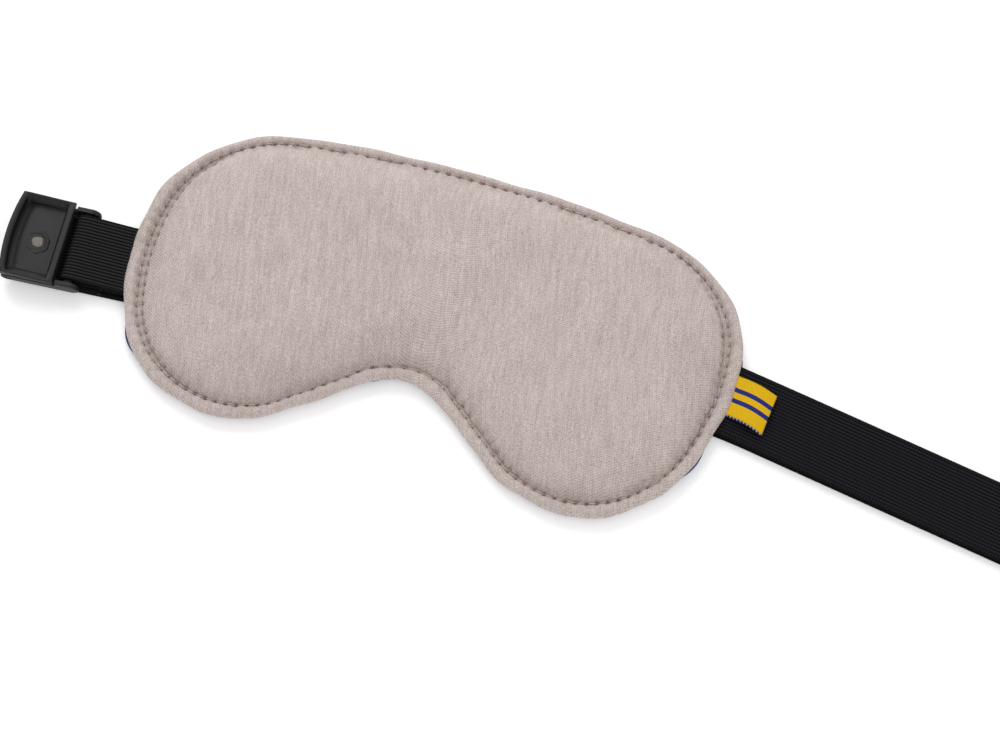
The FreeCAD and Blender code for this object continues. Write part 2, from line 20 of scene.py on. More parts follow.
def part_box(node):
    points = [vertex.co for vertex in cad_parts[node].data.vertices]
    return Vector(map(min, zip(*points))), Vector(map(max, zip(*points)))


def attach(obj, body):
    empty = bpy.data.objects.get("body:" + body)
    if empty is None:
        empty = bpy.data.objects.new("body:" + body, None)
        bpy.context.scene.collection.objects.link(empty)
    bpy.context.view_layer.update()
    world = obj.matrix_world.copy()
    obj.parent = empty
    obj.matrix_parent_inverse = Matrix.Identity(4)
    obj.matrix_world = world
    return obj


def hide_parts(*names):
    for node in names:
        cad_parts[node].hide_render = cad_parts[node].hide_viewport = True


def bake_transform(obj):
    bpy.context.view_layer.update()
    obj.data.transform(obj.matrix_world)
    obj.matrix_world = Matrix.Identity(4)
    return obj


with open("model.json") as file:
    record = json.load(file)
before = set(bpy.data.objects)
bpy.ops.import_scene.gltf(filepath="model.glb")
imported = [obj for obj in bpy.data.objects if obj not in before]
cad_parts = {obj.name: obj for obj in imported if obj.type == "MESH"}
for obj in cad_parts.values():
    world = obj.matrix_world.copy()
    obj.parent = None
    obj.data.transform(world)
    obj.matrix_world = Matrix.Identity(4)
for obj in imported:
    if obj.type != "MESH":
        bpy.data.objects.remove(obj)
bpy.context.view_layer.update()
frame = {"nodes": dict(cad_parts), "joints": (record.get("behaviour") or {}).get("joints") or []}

MM = 0.001

# %% [markdown]
# ## Small helpers
# A piece is built in a bmesh and turned into an object once. `rows` is the one
# way that long pieces are made here: a row of points is drawn, and its edges
# are extruded to the next row again and again, as a person would pull a seam
# along with the Extrude tool. It works for a closed row, such as the mask's
# edge, and for a strap's cross-section.


# %% Turning a bmesh into an object
def to_object(mesh_data, name, body):
    """Turn a bmesh into a smooth object that rides on a body, or on none if no body is given."""
    bmesh.ops.recalc_face_normals(mesh_data, faces=mesh_data.faces)
    mesh = bpy.data.meshes.new(name)
    mesh_data.to_mesh(mesh)
    mesh_data.free()
    for face in mesh.polygons:
        face.use_smooth = True
    piece = bpy.data.objects.new(name, mesh)
    bpy.context.collection.objects.link(piece)
    if body:
        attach(piece, body)
    return piece


# %% Extruding a row of points to the next row
def extrude_rows(mesh_data, rows, closed=True, cap=False, tube=False):
    """Pull the first row of points through all the others. Returns the rows of vertices.

    cap fills the first and last rows, and tube joins the last row back to the first.
    """
    row = [mesh_data.verts.new(point) for point in rows[0]]
    pairs = list(zip(row, row[1:] + row[:1])) if closed else list(zip(row, row[1:]))
    edges = [mesh_data.edges.new(pair) for pair in pairs]
    made = [row]
    first_edges = edges
    for points in rows[1:]:
        pulled = bmesh.ops.extrude_edge_only(mesh_data, edges=edges)["geom"]
        fresh = {item for item in pulled if isinstance(item, bmesh.types.BMVert)}
        edges = [item for item in pulled if isinstance(item, bmesh.types.BMEdge)
                 and item.verts[0] in fresh and item.verts[1] in fresh]
        row = [next(e.other_vert(v) for e in v.link_edges if e.other_vert(v) in fresh) for v in row]
        for vertex, point in zip(row, points):
            vertex.co = point
        made.append(row)
    if cap:
        bmesh.ops.triangle_fill(mesh_data, edges=first_edges, use_beauty=True)
        bmesh.ops.triangle_fill(mesh_data, edges=edges, use_beauty=True)
    if tube:
        bmesh.ops.bridge_loops(mesh_data, edges=first_edges + edges)
    return made


def smooth_step(low, high, value):
    """0 below low, 1 above high, and an S-shaped rise between them."""
    share = min(max((value - low) / (high - low), 0.0), 1.0)
    return share * share * (3 - 2 * share)


# %% [markdown]
# ## Colours and shader nodes
# Colours are picked as sRGB hex values, which is how a swatch book gives them.
# A shader works in linear light, so one function turns them.
# `add_node` places a node with its settings and links, which keeps each
# material short enough to read.


# %% Colour and node helpers
def linear(hex_colour):
    """An sRGB hex colour as linear red, green, blue and alpha."""
    parts = [int(hex_colour[i:i + 2], 16) / 255 for i in (1, 3, 5)]
    return tuple(p / 12.92 if p <= 0.04045 else ((p + 0.055) / 1.055) ** 2.4 for p in parts) + (1.0,)


def new_material(name):
    """A material, its node tree and its main shader."""
    material = bpy.data.materials.new(name)
    material.use_nodes = True
    return material, material.node_tree, material.node_tree.nodes["Principled BSDF"]


def add_node(tree, kind, settings=None, **links):
    """Add a node, set its properties and sockets, and link its inputs by name."""
    node = tree.nodes.new(kind)
    for key, value in (settings or {}).items():
        if isinstance(key, int) or key not in node.bl_rna.properties:
            node.inputs[key].default_value = value
        else:
            setattr(node, key, value)
    for key, socket in links.items():
        tree.links.new(socket, node.inputs[int(key[1:]) if key[0] == "n" else key])
    return node


# %% [markdown]
# ## The mask's edge, read from the CAD lining
# Every soft piece follows the mask's outline, so it is measured once: the lower
# face of the CAD lining is walked round and spaced out evenly. The number of
# points is a whole number per stitch, so that puckers, stitches and needle
# holes fall in step with each other.

# %% Walk the outline
STITCH = 3.8 * MM
STEPS = 8                       # outline points in each stitch
SEAM_IN = 4.25 * MM             # the stitched crease, in from the mask's edge


def cad_outline(node):
    """The outline of a CAD plate's lower face, as points in order."""
    plate = bmesh.new()
    plate.from_mesh(frame["nodes"][node].data)
    bmesh.ops.remove_doubles(plate, verts=plate.verts, dist=0.005 * MM)
    low = min(v.co.z for v in plate.verts)
    upper = [f for f in plate.faces if max(v.co.z for v in f.verts) > low + 0.01 * MM]
    bmesh.ops.delete(plate, geom=upper, context="FACES")
    rim = {e for e in plate.edges if len(e.link_faces) == 1}
    edge = max(rim, key=lambda e: e.verts[0].co.x)
    vertex, points = edge.verts[0], []
    while rim:
        rim.discard(edge)
        vertex = edge.other_vert(vertex)
        points.append(Vector((vertex.co.x, vertex.co.y, 0)))
        edge = next((e for e in vertex.link_edges if e in rim), None)
        if edge is None:
            break
    plate.free()
    turn = sum(a.x * b.y - b.x * a.y for a, b in zip(points, points[1:] + points[:1]))
    return points if turn > 0 else points[::-1]


def evenly(points, count):
    """count points, evenly spaced along a closed line."""
    legs = [(b - a).length for a, b in zip(points, points[1:] + points[:1])]
    total, spaced, leg, done = sum(legs), [], 0, 0.0
    for i in range(count):
        at = total * i / count
        while done + legs[leg] < at:
            done += legs[leg]
            leg += 1
        a, b = points[leg], points[(leg + 1) % len(points)]
        spaced.append(a.lerp(b, (at - done) / legs[leg]))
    return spaced


corners = cad_outline("lining_panel")
length = sum((b - a).length for a, b in zip(corners, corners[1:] + corners[:1]))
STITCHES = round(length * 0.955 / STITCH)
edge_points = evenly(corners, STITCHES * STEPS)
for _ in range(12):             # rounds off the corners between the CAD mesh's chords
    around = zip(edge_points[-1:] + edge_points[:-1], edge_points, edge_points[1:] + edge_points[:1])
    edge_points = [(a + b * 2 + c) / 4 for a, b, c in around]
COUNT = len(edge_points)


def outward_ways():
    """At each outline point, the level direction that points away from the mask."""
    ways = []
    for i in range(COUNT):
        along = edge_points[(i + 1) % COUNT] - edge_points[i - 1]
        ways.append(Vector((along.y, -along.x, 0)).normalized())
    return ways


EASE = 0.7                      # how far the foam moves the cloth's edge, in mm
LABEL_EASE = (-2.9, 0.8)        # its least and greatest at the label's end, in mm


def ease(way):
    """How far foam pushes the edge out: out at the ends, in under the lobes and by the label."""
    ends = EASE
    if way.x > 0:
        ends = min(max(3.6 * way.y - 0.5, LABEL_EASE[0]), LABEL_EASE[1])
    return (ends * way.x ** 2 - EASE * max(-way.y, 0) ** 2) * MM


edge_points = [p + n * ease(n) for p, n in zip(edge_points, outward_ways())]
edge_normals = outward_ways()
print(f"outline {length / MM:.0f} mm round, {STITCHES} stitches, {COUNT} points")


# %% [markdown]
# ## How the cloth wavers
# Real edges are never drawn with one curve. Three small waves are shared by all
# the sewn pieces: the hand-guided edge wanders a little, the cloth lies in
# small cross folds, and each stitch pulls the crease down and in. Along the brow
# the foam bulges over the turned edge, which is narrower and flatter there.


# %% Waves along the seam
BROW_NARROWER = 0.40            # share of the turned edge's width that the brow loses
BROW_FLATTER = 0.42             # share of its rise that the brow loses
FOLD_SPACING = 5.5 * MM         # from one small cross fold to the next, about


def wander(i):
    """The slow in-and-out of a turned edge, in metres."""
    turn = i / COUNT * math.tau
    return (0.30 * math.sin(7 * turn + 0.6) + 0.24 * math.sin(16 * turn + 2.1)
            + 0.20 * math.sin(29 * turn + 4.0)) * MM


def cross_fold(i):
    """Small folds across the flange, from -1 to 1, uneven in size and spacing."""
    place = edge_points[i % COUNT] / FOLD_SPACING
    return noise.noise(Vector((place.x * 1.7, place.y * 1.7, 3.0))) * 1.6


def pull(i):
    """How hard the nearest stitch pulls the cloth: 1 at a needle hole, 0 between two holes."""
    phase = (i % STEPS) / STEPS
    return (0.5 + 0.5 * math.cos(math.tau * phase)) ** 1.5


def brow(i):
    """How much of the brow this is: 1 where the edge faces the forehead, 0 at the ends."""
    return max(edge_normals[i % COUNT].y, 0) ** 1.5


def narrow(i):
    """The turned edge is narrower along the brow: the share of its full width left there."""
    return 1 - BROW_NARROWER * brow(i)


def flat(i):
    """It also lies flatter there, under the foam: the share of its full rise left."""
    return 1 - BROW_FLATTER * brow(i)


def inset(i, depth):
    """A point this far in from the mask's edge, where the edge has its full width."""
    return edge_points[i % COUNT] - edge_normals[i % COUNT] * depth * narrow(i)


# %% [markdown]
# ## The flange: face cloth turned in at the edge
# The mask is sewn inside out, turned, and topstitched, which leaves a rounded,
# slightly puckered rim outside the stitching. It could be a bevelled tube, but
# a tube has no puckers. Here the rim's profile is a short list of places, and
# each row of points round the mask is moved by the waves above.

# %% Build the flange
low_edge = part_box("lining_panel")[1].z          # where the face cloth meets the lining
flange_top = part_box("topstitch_thread")[0].z    # top of the turned edge
rise = flange_top - low_edge

# Each place: depth in from the edge (mm), height as a share of the rim's rise,
# share of the stitch pull, share of the cross folds, share of the edge's wandering
FLANGE = [
    (7.5, 0.50, 0.0, 0.0, 0.0), (5.2, 0.46, 0.5, 0.0, 0.0), (4.35, 0.50, 1.0, 0.2, 0.1),
    (3.85, 0.74, 0.9, 0.6, 0.2), (3.2, 0.99, 0.55, 1.1, 0.3), (2.3, 1.10, 0.25, 1.3, 0.5),
    (1.3, 1.07, 0.1, 1.0, 0.8), (0.45, 0.92, 0.0, 0.7, 1.0), (-0.15, 0.70, 0.0, 0.5, 1.0),
    (-0.2, 0.48, 0.0, 0.3, 1.0), (0.25, 0.22, 0.0, 0.1, 1.0), (1.1, 0.06, 0.0, 0.0, 0.8),
    (2.4, 0.02, 0.0, 0.0, 0.4),
]


PUCKER = 0.8 * MM               # how deep a stitch pulls the crease
FOLD_RISE = 0.34 * MM           # height and shift of a cross fold
FOLD_SHIFT = 0.12 * MM
LAY_RISE = 0.17 * MM            # height of the rope-like lay


def flange_row(depth, height, pulled, folded, wandered):
    """A row of points round the mask, at one place of the rim's profile."""
    row = []
    for i in range(COUNT):
        fold = cross_fold(i) * folded
        point = inset(i, depth * MM - wander(i) * wandered + fold * FOLD_SHIFT)
        lift = rise * height - pull(i) * pulled * PUCKER + fold * FOLD_RISE
        # each stitch turns the rim a little, like the lay of a rope, most of all by the label
        lay = (0.4 + 0.6 * max(edge_normals[i].x, 0)) * math.sin(math.tau * i / STEPS + depth * 1.4)
        lift = (lift + lay * folded * LAY_RISE) * flat(i)
        row.append(Vector((point.x, point.y, low_edge + lift)))
    return row


flange_mesh = bmesh.new()
extrude_rows(flange_mesh, [flange_row(*place) for place in FLANGE], tube=True)
flange = to_object(flange_mesh, "face_flange", "mask")
print("flange:", len(flange.data.polygons), "faces")

# %% [markdown]
# ## The pad: foam under jersey, blown up like a cushion
# Foam pushes the jersey out until the stitching stops it. That is what a cloth
# simulation with inner pressure does, so the CAD foam is copied, voxel
# remeshed and inflated a little. The movement is capped, because foam, unlike
# air, keeps its own shape. Afterwards the stitched foot is scalloped, and the
# soft creases that fan out over the nose are pressed in.

# %% Copy and inflate the foam
PAD_SWELL = 1.0 * MM            # the most that the simulation may move a point
FOAM_VOXEL = 2.0 * MM
FACE_VOXEL = 1.5 * MM
CLOTH_FRAMES = 20


def even_mesh(piece, voxel):
    """Give a closed piece an even mesh with Voxel Remesh, applied."""
    bpy.context.view_layer.objects.active = piece
    remesh = piece.modifiers.new("even_mesh", "REMESH")
    remesh.mode = "VOXEL"
    remesh.voxel_size = voxel
    bpy.ops.object.modifier_apply(modifier=remesh.name)


def inflate(piece, voxel, pressure, cap):
    """Voxel remesh a closed piece, blow it up with Cloth, and cap how far it moves."""
    even_mesh(piece, voxel)
    start = [v.co.copy() for v in piece.data.vertices]
    cloth = piece.modifiers.new("foam_push", "CLOTH")
    cloth.settings.use_pressure = True
    cloth.settings.uniform_pressure_force = pressure
    cloth.settings.effector_weights.gravity = 0
    cloth.settings.quality = 5
    cloth.settings.tension_stiffness = 20
    cloth.settings.compression_stiffness = 20
    cloth.settings.bending_stiffness = 2
    cloth.point_cache.frame_start = 1
    cloth.point_cache.frame_end = CLOTH_FRAMES
    scene = bpy.context.scene
    for step in range(1, CLOTH_FRAMES + 1):
        scene.frame_set(step)
        bpy.context.view_layer.update()
    bpy.ops.object.modifier_apply(modifier=cloth.name)
    scene.frame_set(1)
    moved = 0.0
    for vertex, was in zip(piece.data.vertices, start):
        step = vertex.co - was
        far = step.length
        if far > 1e-9:
            held = cap * math.tanh(far / cap)
            vertex.co = was + step * (held / far)
            moved = max(moved, held)
    print(f"{piece.name}: {len(start)} points, swelled by up to {moved / MM:.2f} mm")


pad = bpy.data.objects.new("face_pad", frame["nodes"]["foam_pad"].data.copy())
bpy.context.collection.objects.link(pad)
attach(pad, "mask")
pad_mesh = bmesh.new()
pad_mesh.from_mesh(pad.data)
bmesh.ops.remove_doubles(pad_mesh, verts=pad_mesh.verts, dist=0.005 * MM)
pad_mesh.to_mesh(pad.data)
pad_mesh.free()
pad.data.materials.clear()
even_mesh(pad, FOAM_VOXEL)
print("foam:", len(pad.data.vertices), "points")

# %% [markdown]
# The CAD foam is a block with rounded shoulders. Under stitched cloth the real
# foam slopes up from the seam and flattens slowly towards the middle, so each
# point's height is set by its distance from the seam, found with a KD-tree.

# %% Slope the foam up from the seam
edge_tree = KDTree(COUNT)
for i, point in enumerate(edge_points):
    edge_tree.insert(point, i)
edge_tree.balance()
pad_low, pad_high = (corner.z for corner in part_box("foam_pad"))
pad_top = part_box("face_panel")[1].z
CROWN_REACH = 34 * MM           # from the seam to where the pad is nearly flat
FOOT_REACH = 9 * MM             # how far in from the seam the pad's foot is spread
COVER_SINK = 1.1 * MM           # kept for the swelling, below the CAD face's top
foot_z = low_edge + rise * 0.50


def crown(gap):
    """The share of the pad's full height, this far in from the seam."""
    return 1 - (1 - min(max(gap, 0.0) / CROWN_REACH, 1.0)) ** 4.4


for vertex in pad.data.vertices:
    spot = vertex.co
    _, i, gap = edge_tree.find(Vector((spot.x, spot.y, 0)))
    from_seam = gap - SEAM_IN
    # the foam bulges over the stitching along the brow
    foot = (1.25 + 1.3 * brow(i)) * MM + SEAM_IN * (1 - narrow(i))
    spread = foot * (1 - smooth_step(0, FOOT_REACH, from_seam))
    spot = spot + edge_normals[i] * spread
    height = (spot.z - pad_low) / (pad_high - pad_low)
    top = foot_z + (pad_top - COVER_SINK - foot_z) * crown(from_seam - spread)
    spot.z = pad_low + (top - pad_low) * height
    vertex.co = spot
inflate(pad, FACE_VOXEL, 4.0, PAD_SWELL)
finer = pad.modifiers.new("finer", "SUBSURF")
finer.levels = finer.render_levels = 1
bpy.context.view_layer.objects.active = pad
bpy.ops.object.modifier_apply(modifier=finer.name)
for face in pad.data.polygons:
    face.use_smooth = True
print("pad:", len(pad.data.polygons), "faces")

# %% Scallop the foot and press in the creases over the nose
nose = min(edge_points, key=lambda p: abs(p.x) + (10 if p.y > 0 else 0))
# Each crease: its direction from the nose (degrees), its depth (mm) and its length (mm)
CREASES = [(62, 0.45, 30), (79, 0.55, 36), (97, 0.5, 34), (113, 0.4, 28), (38, 0.3, 24), (140, 0.3, 24)]


def crease_depth(point):
    """How deep the fan of creases over the nose is at a point, in metres."""
    away = Vector((point.x - nose.x, point.y - nose.y, 0))
    reach = away.length / MM
    heading = math.degrees(math.atan2(away.y, away.x))
    depth = 0.0
    for angle, deep, long in CREASES:
        across = math.sin(math.radians(heading - angle)) * reach
        if abs(heading - angle) < 90:
            fade = smooth_step(3, 9, reach) * (1 - smooth_step(long * 0.45, long, reach))
            depth += deep * fade * math.exp(-(across / 1.7) ** 2)
    return depth * MM


for vertex in pad.data.vertices:
    spot = vertex.co
    _, i, gap = edge_tree.find(Vector((spot.x, spot.y, 0)))
    foot = 1 - smooth_step(foot_z, foot_z + 4.0 * MM, spot.z)
    outward = edge_normals[i]
    tuck = foot * (0.7 * pull(i) * MM + cross_fold(i) * 0.2 * MM)
    swell = 0.5 * noise.noise(spot / (24 * MM)) + 0.22 * noise.noise(spot / (9 * MM) + Vector((7, 2, 1)))
    crowned = smooth_step(flange_top + 1.5 * MM, pad_top - 3 * MM, spot.z)
    spot = spot - outward * tuck
    spot.z += crowned * (swell * MM - crease_depth(spot))
    spot.z = max(spot.z, pad_low)
    vertex.co = spot
pad.data.update()
print("pad stands", round(max(v.co.z for v in pad.data.vertices) / MM, 1), "mm high")

# %% [markdown]
# ## The lining
# The back is a navy cloth that meets the face cloth at the turned edge. It is
# flat where the mask lies on it and rolls up at its rim. Here and there the
# sewing lets it peep out past the face cloth, which is what shows from above.

# %% Build the lining
# Each peep: its direction from the mask's middle (degrees), half its spread (degrees), its size (mm)
PEEPS = [(203, 8, 1.6), (187, 6, 1.5), (344, 9, 1.4), (6, 5, 1.4), (250, 8, 0.9)]


def peep(i):
    """How far the lining shows past the face cloth, in metres."""
    heading = math.degrees(math.atan2(edge_points[i].y, edge_points[i].x)) % 360
    far = 0.0
    for angle, spread, size in PEEPS:
        apart = abs((heading - angle + 180) % 360 - 180)
        far = max(far, size * math.exp(-(apart / spread * 1.6) ** 2))
    return far * MM


SEAM_ROW = 4.3                  # the row that the topstitching dimples, in from the edge (mm)

# Each place: depth in from the edge (mm), height as a share of the rim's rise,
# share of the peeps
LINING = [
    (3.4, 0.00, 0.0), (2.3, 0.10, 0.0), (1.6, 0.50, 0.0), (0.9, 0.42, 1.0),
    (0.7, 0.22, 1.2), (1.1, -0.04, 1.0), (1.9, -0.17, 0.4), (3.2, -0.205, 0.0),
    (SEAM_ROW, -0.16, 0.0), (5.4, -0.205, 0.0),
]


def lining_row(depth, height, shown):
    row = []
    for i in range(COUNT):
        point = inset(i, (depth + 0.45) * MM - wander(i) * 0.9 - peep(i) * shown)
        dimple = pull(i) * 0.12 * MM if depth == SEAM_ROW else 0
        row.append(Vector((point.x, point.y, low_edge + rise * height + dimple)))
    return row


lining_mesh = bmesh.new()
extrude_rows(lining_mesh, [lining_row(*place) for place in LINING], cap=True)
lining = to_object(lining_mesh, "back_lining", "mask")
print("lining:", len(lining.data.polygons), "faces")

# %% [markdown]
# ## Topstitching
# A lockstitch shows as short threads that lie on the cloth and dive into needle
# holes. Each stitch is one small capsule with a few dozen faces, and each hole
# a dimple coloured dark as painted shade, so that the row still reads as stitches from close by.

# %% Sew the stitches
stitch_mesh = bmesh.new()
hole_mesh = bmesh.new()
stitch_random = random.Random(11)
for k in range(STITCHES):
    i = k * STEPS + STEPS // 2
    middle = inset(i, SEAM_IN)
    along = Vector((-edge_normals[i % COUNT].y, edge_normals[i % COUNT].x, 0))
    tilt = stitch_random.uniform(-0.16, 0.16)
    heading = math.atan2(along.y, along.x) + tilt
    lift = low_edge + rise * 0.70 * flat(i) + stitch_random.uniform(-0.05, 0.08) * MM
    place = Matrix.Translation((middle.x, middle.y, lift)) @ Matrix.Rotation(heading, 4, "Z")
    shape = place @ Matrix.Diagonal((1.25 * MM, 0.30 * MM, 0.26 * MM, 1))
    bmesh.ops.create_icosphere(stitch_mesh, subdivisions=2, radius=1, matrix=shape)
    # painted shade: each needle hole is a small dimple coloured dark for the shadow inside it
    hole = inset(k * STEPS, SEAM_IN)
    sunk = Matrix.Translation((hole.x, hole.y, low_edge + rise * 0.46 * flat(k * STEPS)))
    spin = Matrix.Rotation(heading, 4, "Z") @ Matrix.Diagonal((0.48 * MM, 0.26 * MM, 0.32 * MM, 1))
    bmesh.ops.create_icosphere(hole_mesh, subdivisions=1, radius=1, matrix=sunk @ spin)
stitches = to_object(stitch_mesh, "topstitches", "mask")
holes = to_object(hole_mesh, "needle_holes", "mask")
print("stitches:", STITCHES)

# %% [markdown]
# ## Ribbed elastic
# Both straps are woven elastic: rubber cores run along the strap and stand up
# as ribs, between two plain selvages. The ribs are real geometry, because they
# catch the light in long lines. One cross-section is drawn, and it is extruded
# along the strap's route, which is made of straight runs and round turns in
# the plane of each strap.

# %% The strap's cross-section
WIDTH = 25.0 * MM
THICK = 1.2 * MM
RIB = 1.15 * MM


def section(width, thick, selvage, rib_height):
    """Across, up and ridge, round the strap: ribs on both faces, plain bands at the edges."""
    half = width / 2
    ribs = round((width - 2 * selvage) / RIB)
    step = (width - 2 * selvage) / ribs
    band = [(-half + 0.2 * MM, thick / 2 - 0.14 * MM, 0.3), (-half + selvage * 0.4, thick / 2, 0.6),
            (-half + selvage * 0.85, thick / 2, 0.6)]
    top = list(band)
    for k in range(ribs):
        start = -half + selvage + step * k
        for share, up in ((0.06, 0.0), (0.3, 0.85), (0.5, 1.0), (0.7, 0.85), (0.94, 0.0)):
            top.append((start + step * share, thick / 2 - rib_height * (1 - up), up))
    top += [(-x, y, ridge) for x, y, ridge in reversed(band)]
    bottom = [(x, -y, ridge) for x, y, ridge in reversed(top)]
    return top + [(half, 0, 0.3)] + bottom + [(-half, 0, 0.3)]


# %% Routes: straight runs and turns in a strap's own upright plane
class Line:
    """A strap's line on the table: a start, and the way it runs."""

    def __init__(self, start, heading):
        self.start = Vector(start)
        self.way = Vector((math.cos(heading), math.sin(heading), 0))
        self.side = Vector((-self.way.y, self.way.x, 0))

    def station(self, u, z, tilt):
        """A place on the route: the point, the strap's side and its own upward way."""
        up = Matrix.Rotation(-tilt, 3, self.side) @ Vector((0, 0, 1))
        return self.start + self.way * u + Vector((0, 0, z)), self.side, up


def straight(line, u0, z0, u1, z1, steps, flip=False):
    tilt = math.atan2(z1 - z0, abs(u1 - u0)) * (1 if u1 > u0 else -1)
    tilt += math.pi if flip else 0
    return [line.station(u0 + (u1 - u0) * k / steps, z0 + (z1 - z0) * k / steps, tilt)
            for k in range(steps + 1)]


def turn(line, u, z, radius, start, end, steps):
    """Part of a circle round (u, z). Angles are the outward way, from 0 along the line to 90 up."""
    made = []
    for k in range(steps + 1):
        angle = math.radians(start + (end - start) * k / steps)
        tilt = angle - math.pi / 2
        made.append(line.station(u + radius * math.cos(angle), z + radius * math.sin(angle), tilt))
    return made


def ribbon(name, body, stations, profile):
    """Extrude the profile along the stations, and note how far along and across each point is."""
    rows, lengths, run, before = [], [], 0.0, None
    for point, side, up in stations:
        run += (point - before).length if before is not None else 0.0
        before = point
        lengths.append(run)
        rows.append([point + side * across + up * height for across, height, _ in profile])
    mesh_data = bmesh.new()
    made = extrude_rows(mesh_data, rows, cap=True)
    mesh_data.verts.index_update()
    along = [0.0] * len(mesh_data.verts)
    across = [0.0] * len(mesh_data.verts)
    ridge = [0.0] * len(mesh_data.verts)
    for row, far in zip(made, lengths):
        for vertex, place in zip(row, profile):
            along[vertex.index] = far
            across[vertex.index] = place[0]
            ridge[vertex.index] = place[2]
    piece = to_object(mesh_data, name, body)
    for key, values in (("along", along), ("across", across), ("ridge", ridge)):
        layer = piece.data.attributes.new(key, "FLOAT", "POINT")
        layer.data.foreach_set("value", values)
    print(f"{name}: {run / MM:.0f} mm long, {len(piece.data.polygons)} faces")
    return piece


# %% The two lines that the straps follow
hinge = next(j for j in frame["joints"] if j["name"] == "lever_hinge")
hinge_at = Vector(hinge["pos_m"])
left_heading = math.atan2(hinge["axis"][0], -hinge["axis"][1])
left_line = Line((hinge_at.x, hinge_at.y, 0), left_heading)
right_heading = math.radians(-9.25)
right_line = Line((98.0 * MM, -1.8 * MM, 0), right_heading)
print("left line turns", round(math.degrees(left_heading), 2), "degrees")

# %% [markdown]
# ## The short strap
# It is doubled: both ends are sewn into the mask and the loop holds the
# buckle's end bar. The two layers part as they rise to the bar, so the route
# goes out along the top, round the bar and back underneath.

# %% Build the short strap
TAB_END = 40.2 * MM             # from the hinge to the strap's end, out of sight under the rim
bar_z = 5.1 * MM
bar_u = 18.9 * MM
loop_r = 1.7 * MM
seam_low = low_edge + THICK / 2
seam_high = low_edge + THICK * 1.5 + 0.3 * MM
short_route = (straight(left_line, TAB_END, seam_high, 37.0 * MM, seam_high, 4)
               + straight(left_line, 36.0 * MM, seam_high + 0.1 * MM, 21.3 * MM, bar_z + loop_r, 14)
               + turn(left_line, bar_u + 0.4 * MM, bar_z, loop_r, 90, 270, 14)
               + straight(left_line, 21.3 * MM, bar_z - loop_r, 31.0 * MM, 3.4 * MM, 10, flip=True)
               + straight(left_line, 32.0 * MM, 3.35 * MM, 37.0 * MM, seam_low, 4, flip=True)
               + straight(left_line, 37.5 * MM, seam_low, TAB_END, seam_low, 4, flip=True))
lean = math.tan(math.radians(1.4))      # the strap is sewn in a little askew
short_route = [(point + side * (0.35 * MM + lean * ((point - hinge_at).dot(left_line.way) - bar_u)), side, up)
               for point, side, up in short_route]
rib_section = section(WIDTH - 1.2 * MM, THICK - 0.15 * MM, 0.6 * MM, 0.30 * MM)
short_strap = ribbon("short_elastic", "mask", short_route, rib_section)

# %% [markdown]
# ## The head strap
# One long elastic: out of the right seam to a soft fold, back beneath itself
# and under the mask with a gentle bend, round the buckle's floor, under the
# jaw and out through the slot to a short overcast tail.

# %% Build the head strap
high_run = 2.8 * MM
low_run = 0.6 * MM
reach = 108.0 * MM
turn_mid = (high_run + low_run) / 2
fold_r = (high_run - low_run) / 2
bend_r = 200.0 * MM
total_turn = left_heading - right_heading
gap = left_line.start - right_line.start
cross = math.sin(total_turn)
on_right = (gap.x * left_line.way.y - gap.y * left_line.way.x) / cross
on_left = (gap.x * right_line.way.y - gap.y * right_line.way.x) / cross
bend_reach = bend_r * math.tan(total_turn / 2)


def plan_bend(steps):
    """The strap's flat bend under the mask, from the right line to the left one."""
    centre = left_line.start + left_line.way * (on_left - bend_reach) - left_line.side * bend_r
    made = []
    for k in range(steps + 1):
        angle = right_heading + total_turn * k / steps
        side = Vector((-math.sin(angle), math.cos(angle), 0))
        made.append((centre + side * bend_r + Vector((0, 0, low_run)), side, Vector((0, 0, -1))))
    return made


def flexed(stations, height):
    """A lazy wave along a run that lies free."""
    return [(p + Vector((0, 0, height * math.sin(p.x / (17 * MM)))), s, n) for p, s, n in stations]


turn_u = 5.5 * MM
floor_end = 13.3 * MM
head_route = (straight(right_line, -1.0 * MM, high_run, 6.0 * MM, high_run, 4)
              + flexed(straight(right_line, 8.0 * MM, high_run + 0.1 * MM, reach, high_run + 0.1 * MM, 60),
                       0.08 * MM)
              + turn(right_line, reach, turn_mid, fold_r, 90, -90, 12)
              + straight(right_line, reach, low_run, on_right + bend_reach, low_run, 40, flip=True)
              + plan_bend(16)[1:]
              + straight(left_line, on_left - bend_reach, low_run, turn_u, low_run, 60, flip=True)[1:]
              + turn(left_line, turn_u, 2.1 * MM, 1.5 * MM, 270, 90, 14)[1:]
              + straight(left_line, turn_u + 0.3 * MM, 3.6 * MM, floor_end, 3.6 * MM, 6)
              + straight(left_line, floor_end + 0.4 * MM, 3.5 * MM, 17.6 * MM, 2.05 * MM, 6)
              + straight(left_line, 18.2 * MM, 2.0 * MM, 30.3 * MM, 2.0 * MM, 10))
head_section = section(WIDTH, THICK, 1.5 * MM, 0.20 * MM)
head_strap = ribbon("head_elastic", "mask", head_route, head_section)

# %% [markdown]
# ## The tail's overcast end
# A cut elastic frays, so its end is cast over with black thread: a row of small
# loops round the cut, each a squashed torus stood in for by a flattened ball.

# %% Cast the tail's end over
tail_mesh = bmesh.new()
loops = 22
for k in range(loops):
    across = (k / (loops - 1) - 0.5) * (WIDTH - 0.6 * MM)
    point, side, up = left_line.station(30.45 * MM, 2.0 * MM, 0)
    place = Matrix.Translation(point + side * across)
    slant = Matrix.Rotation(left_heading + 0.35, 4, "Z")
    shape = place @ slant @ Matrix.Diagonal((0.75 * MM, 0.3 * MM, 0.68 * MM, 1))
    bmesh.ops.create_icosphere(tail_mesh, subdivisions=2, radius=1, matrix=shape)
overcast = to_object(tail_mesh, "tail_overcast", "mask")

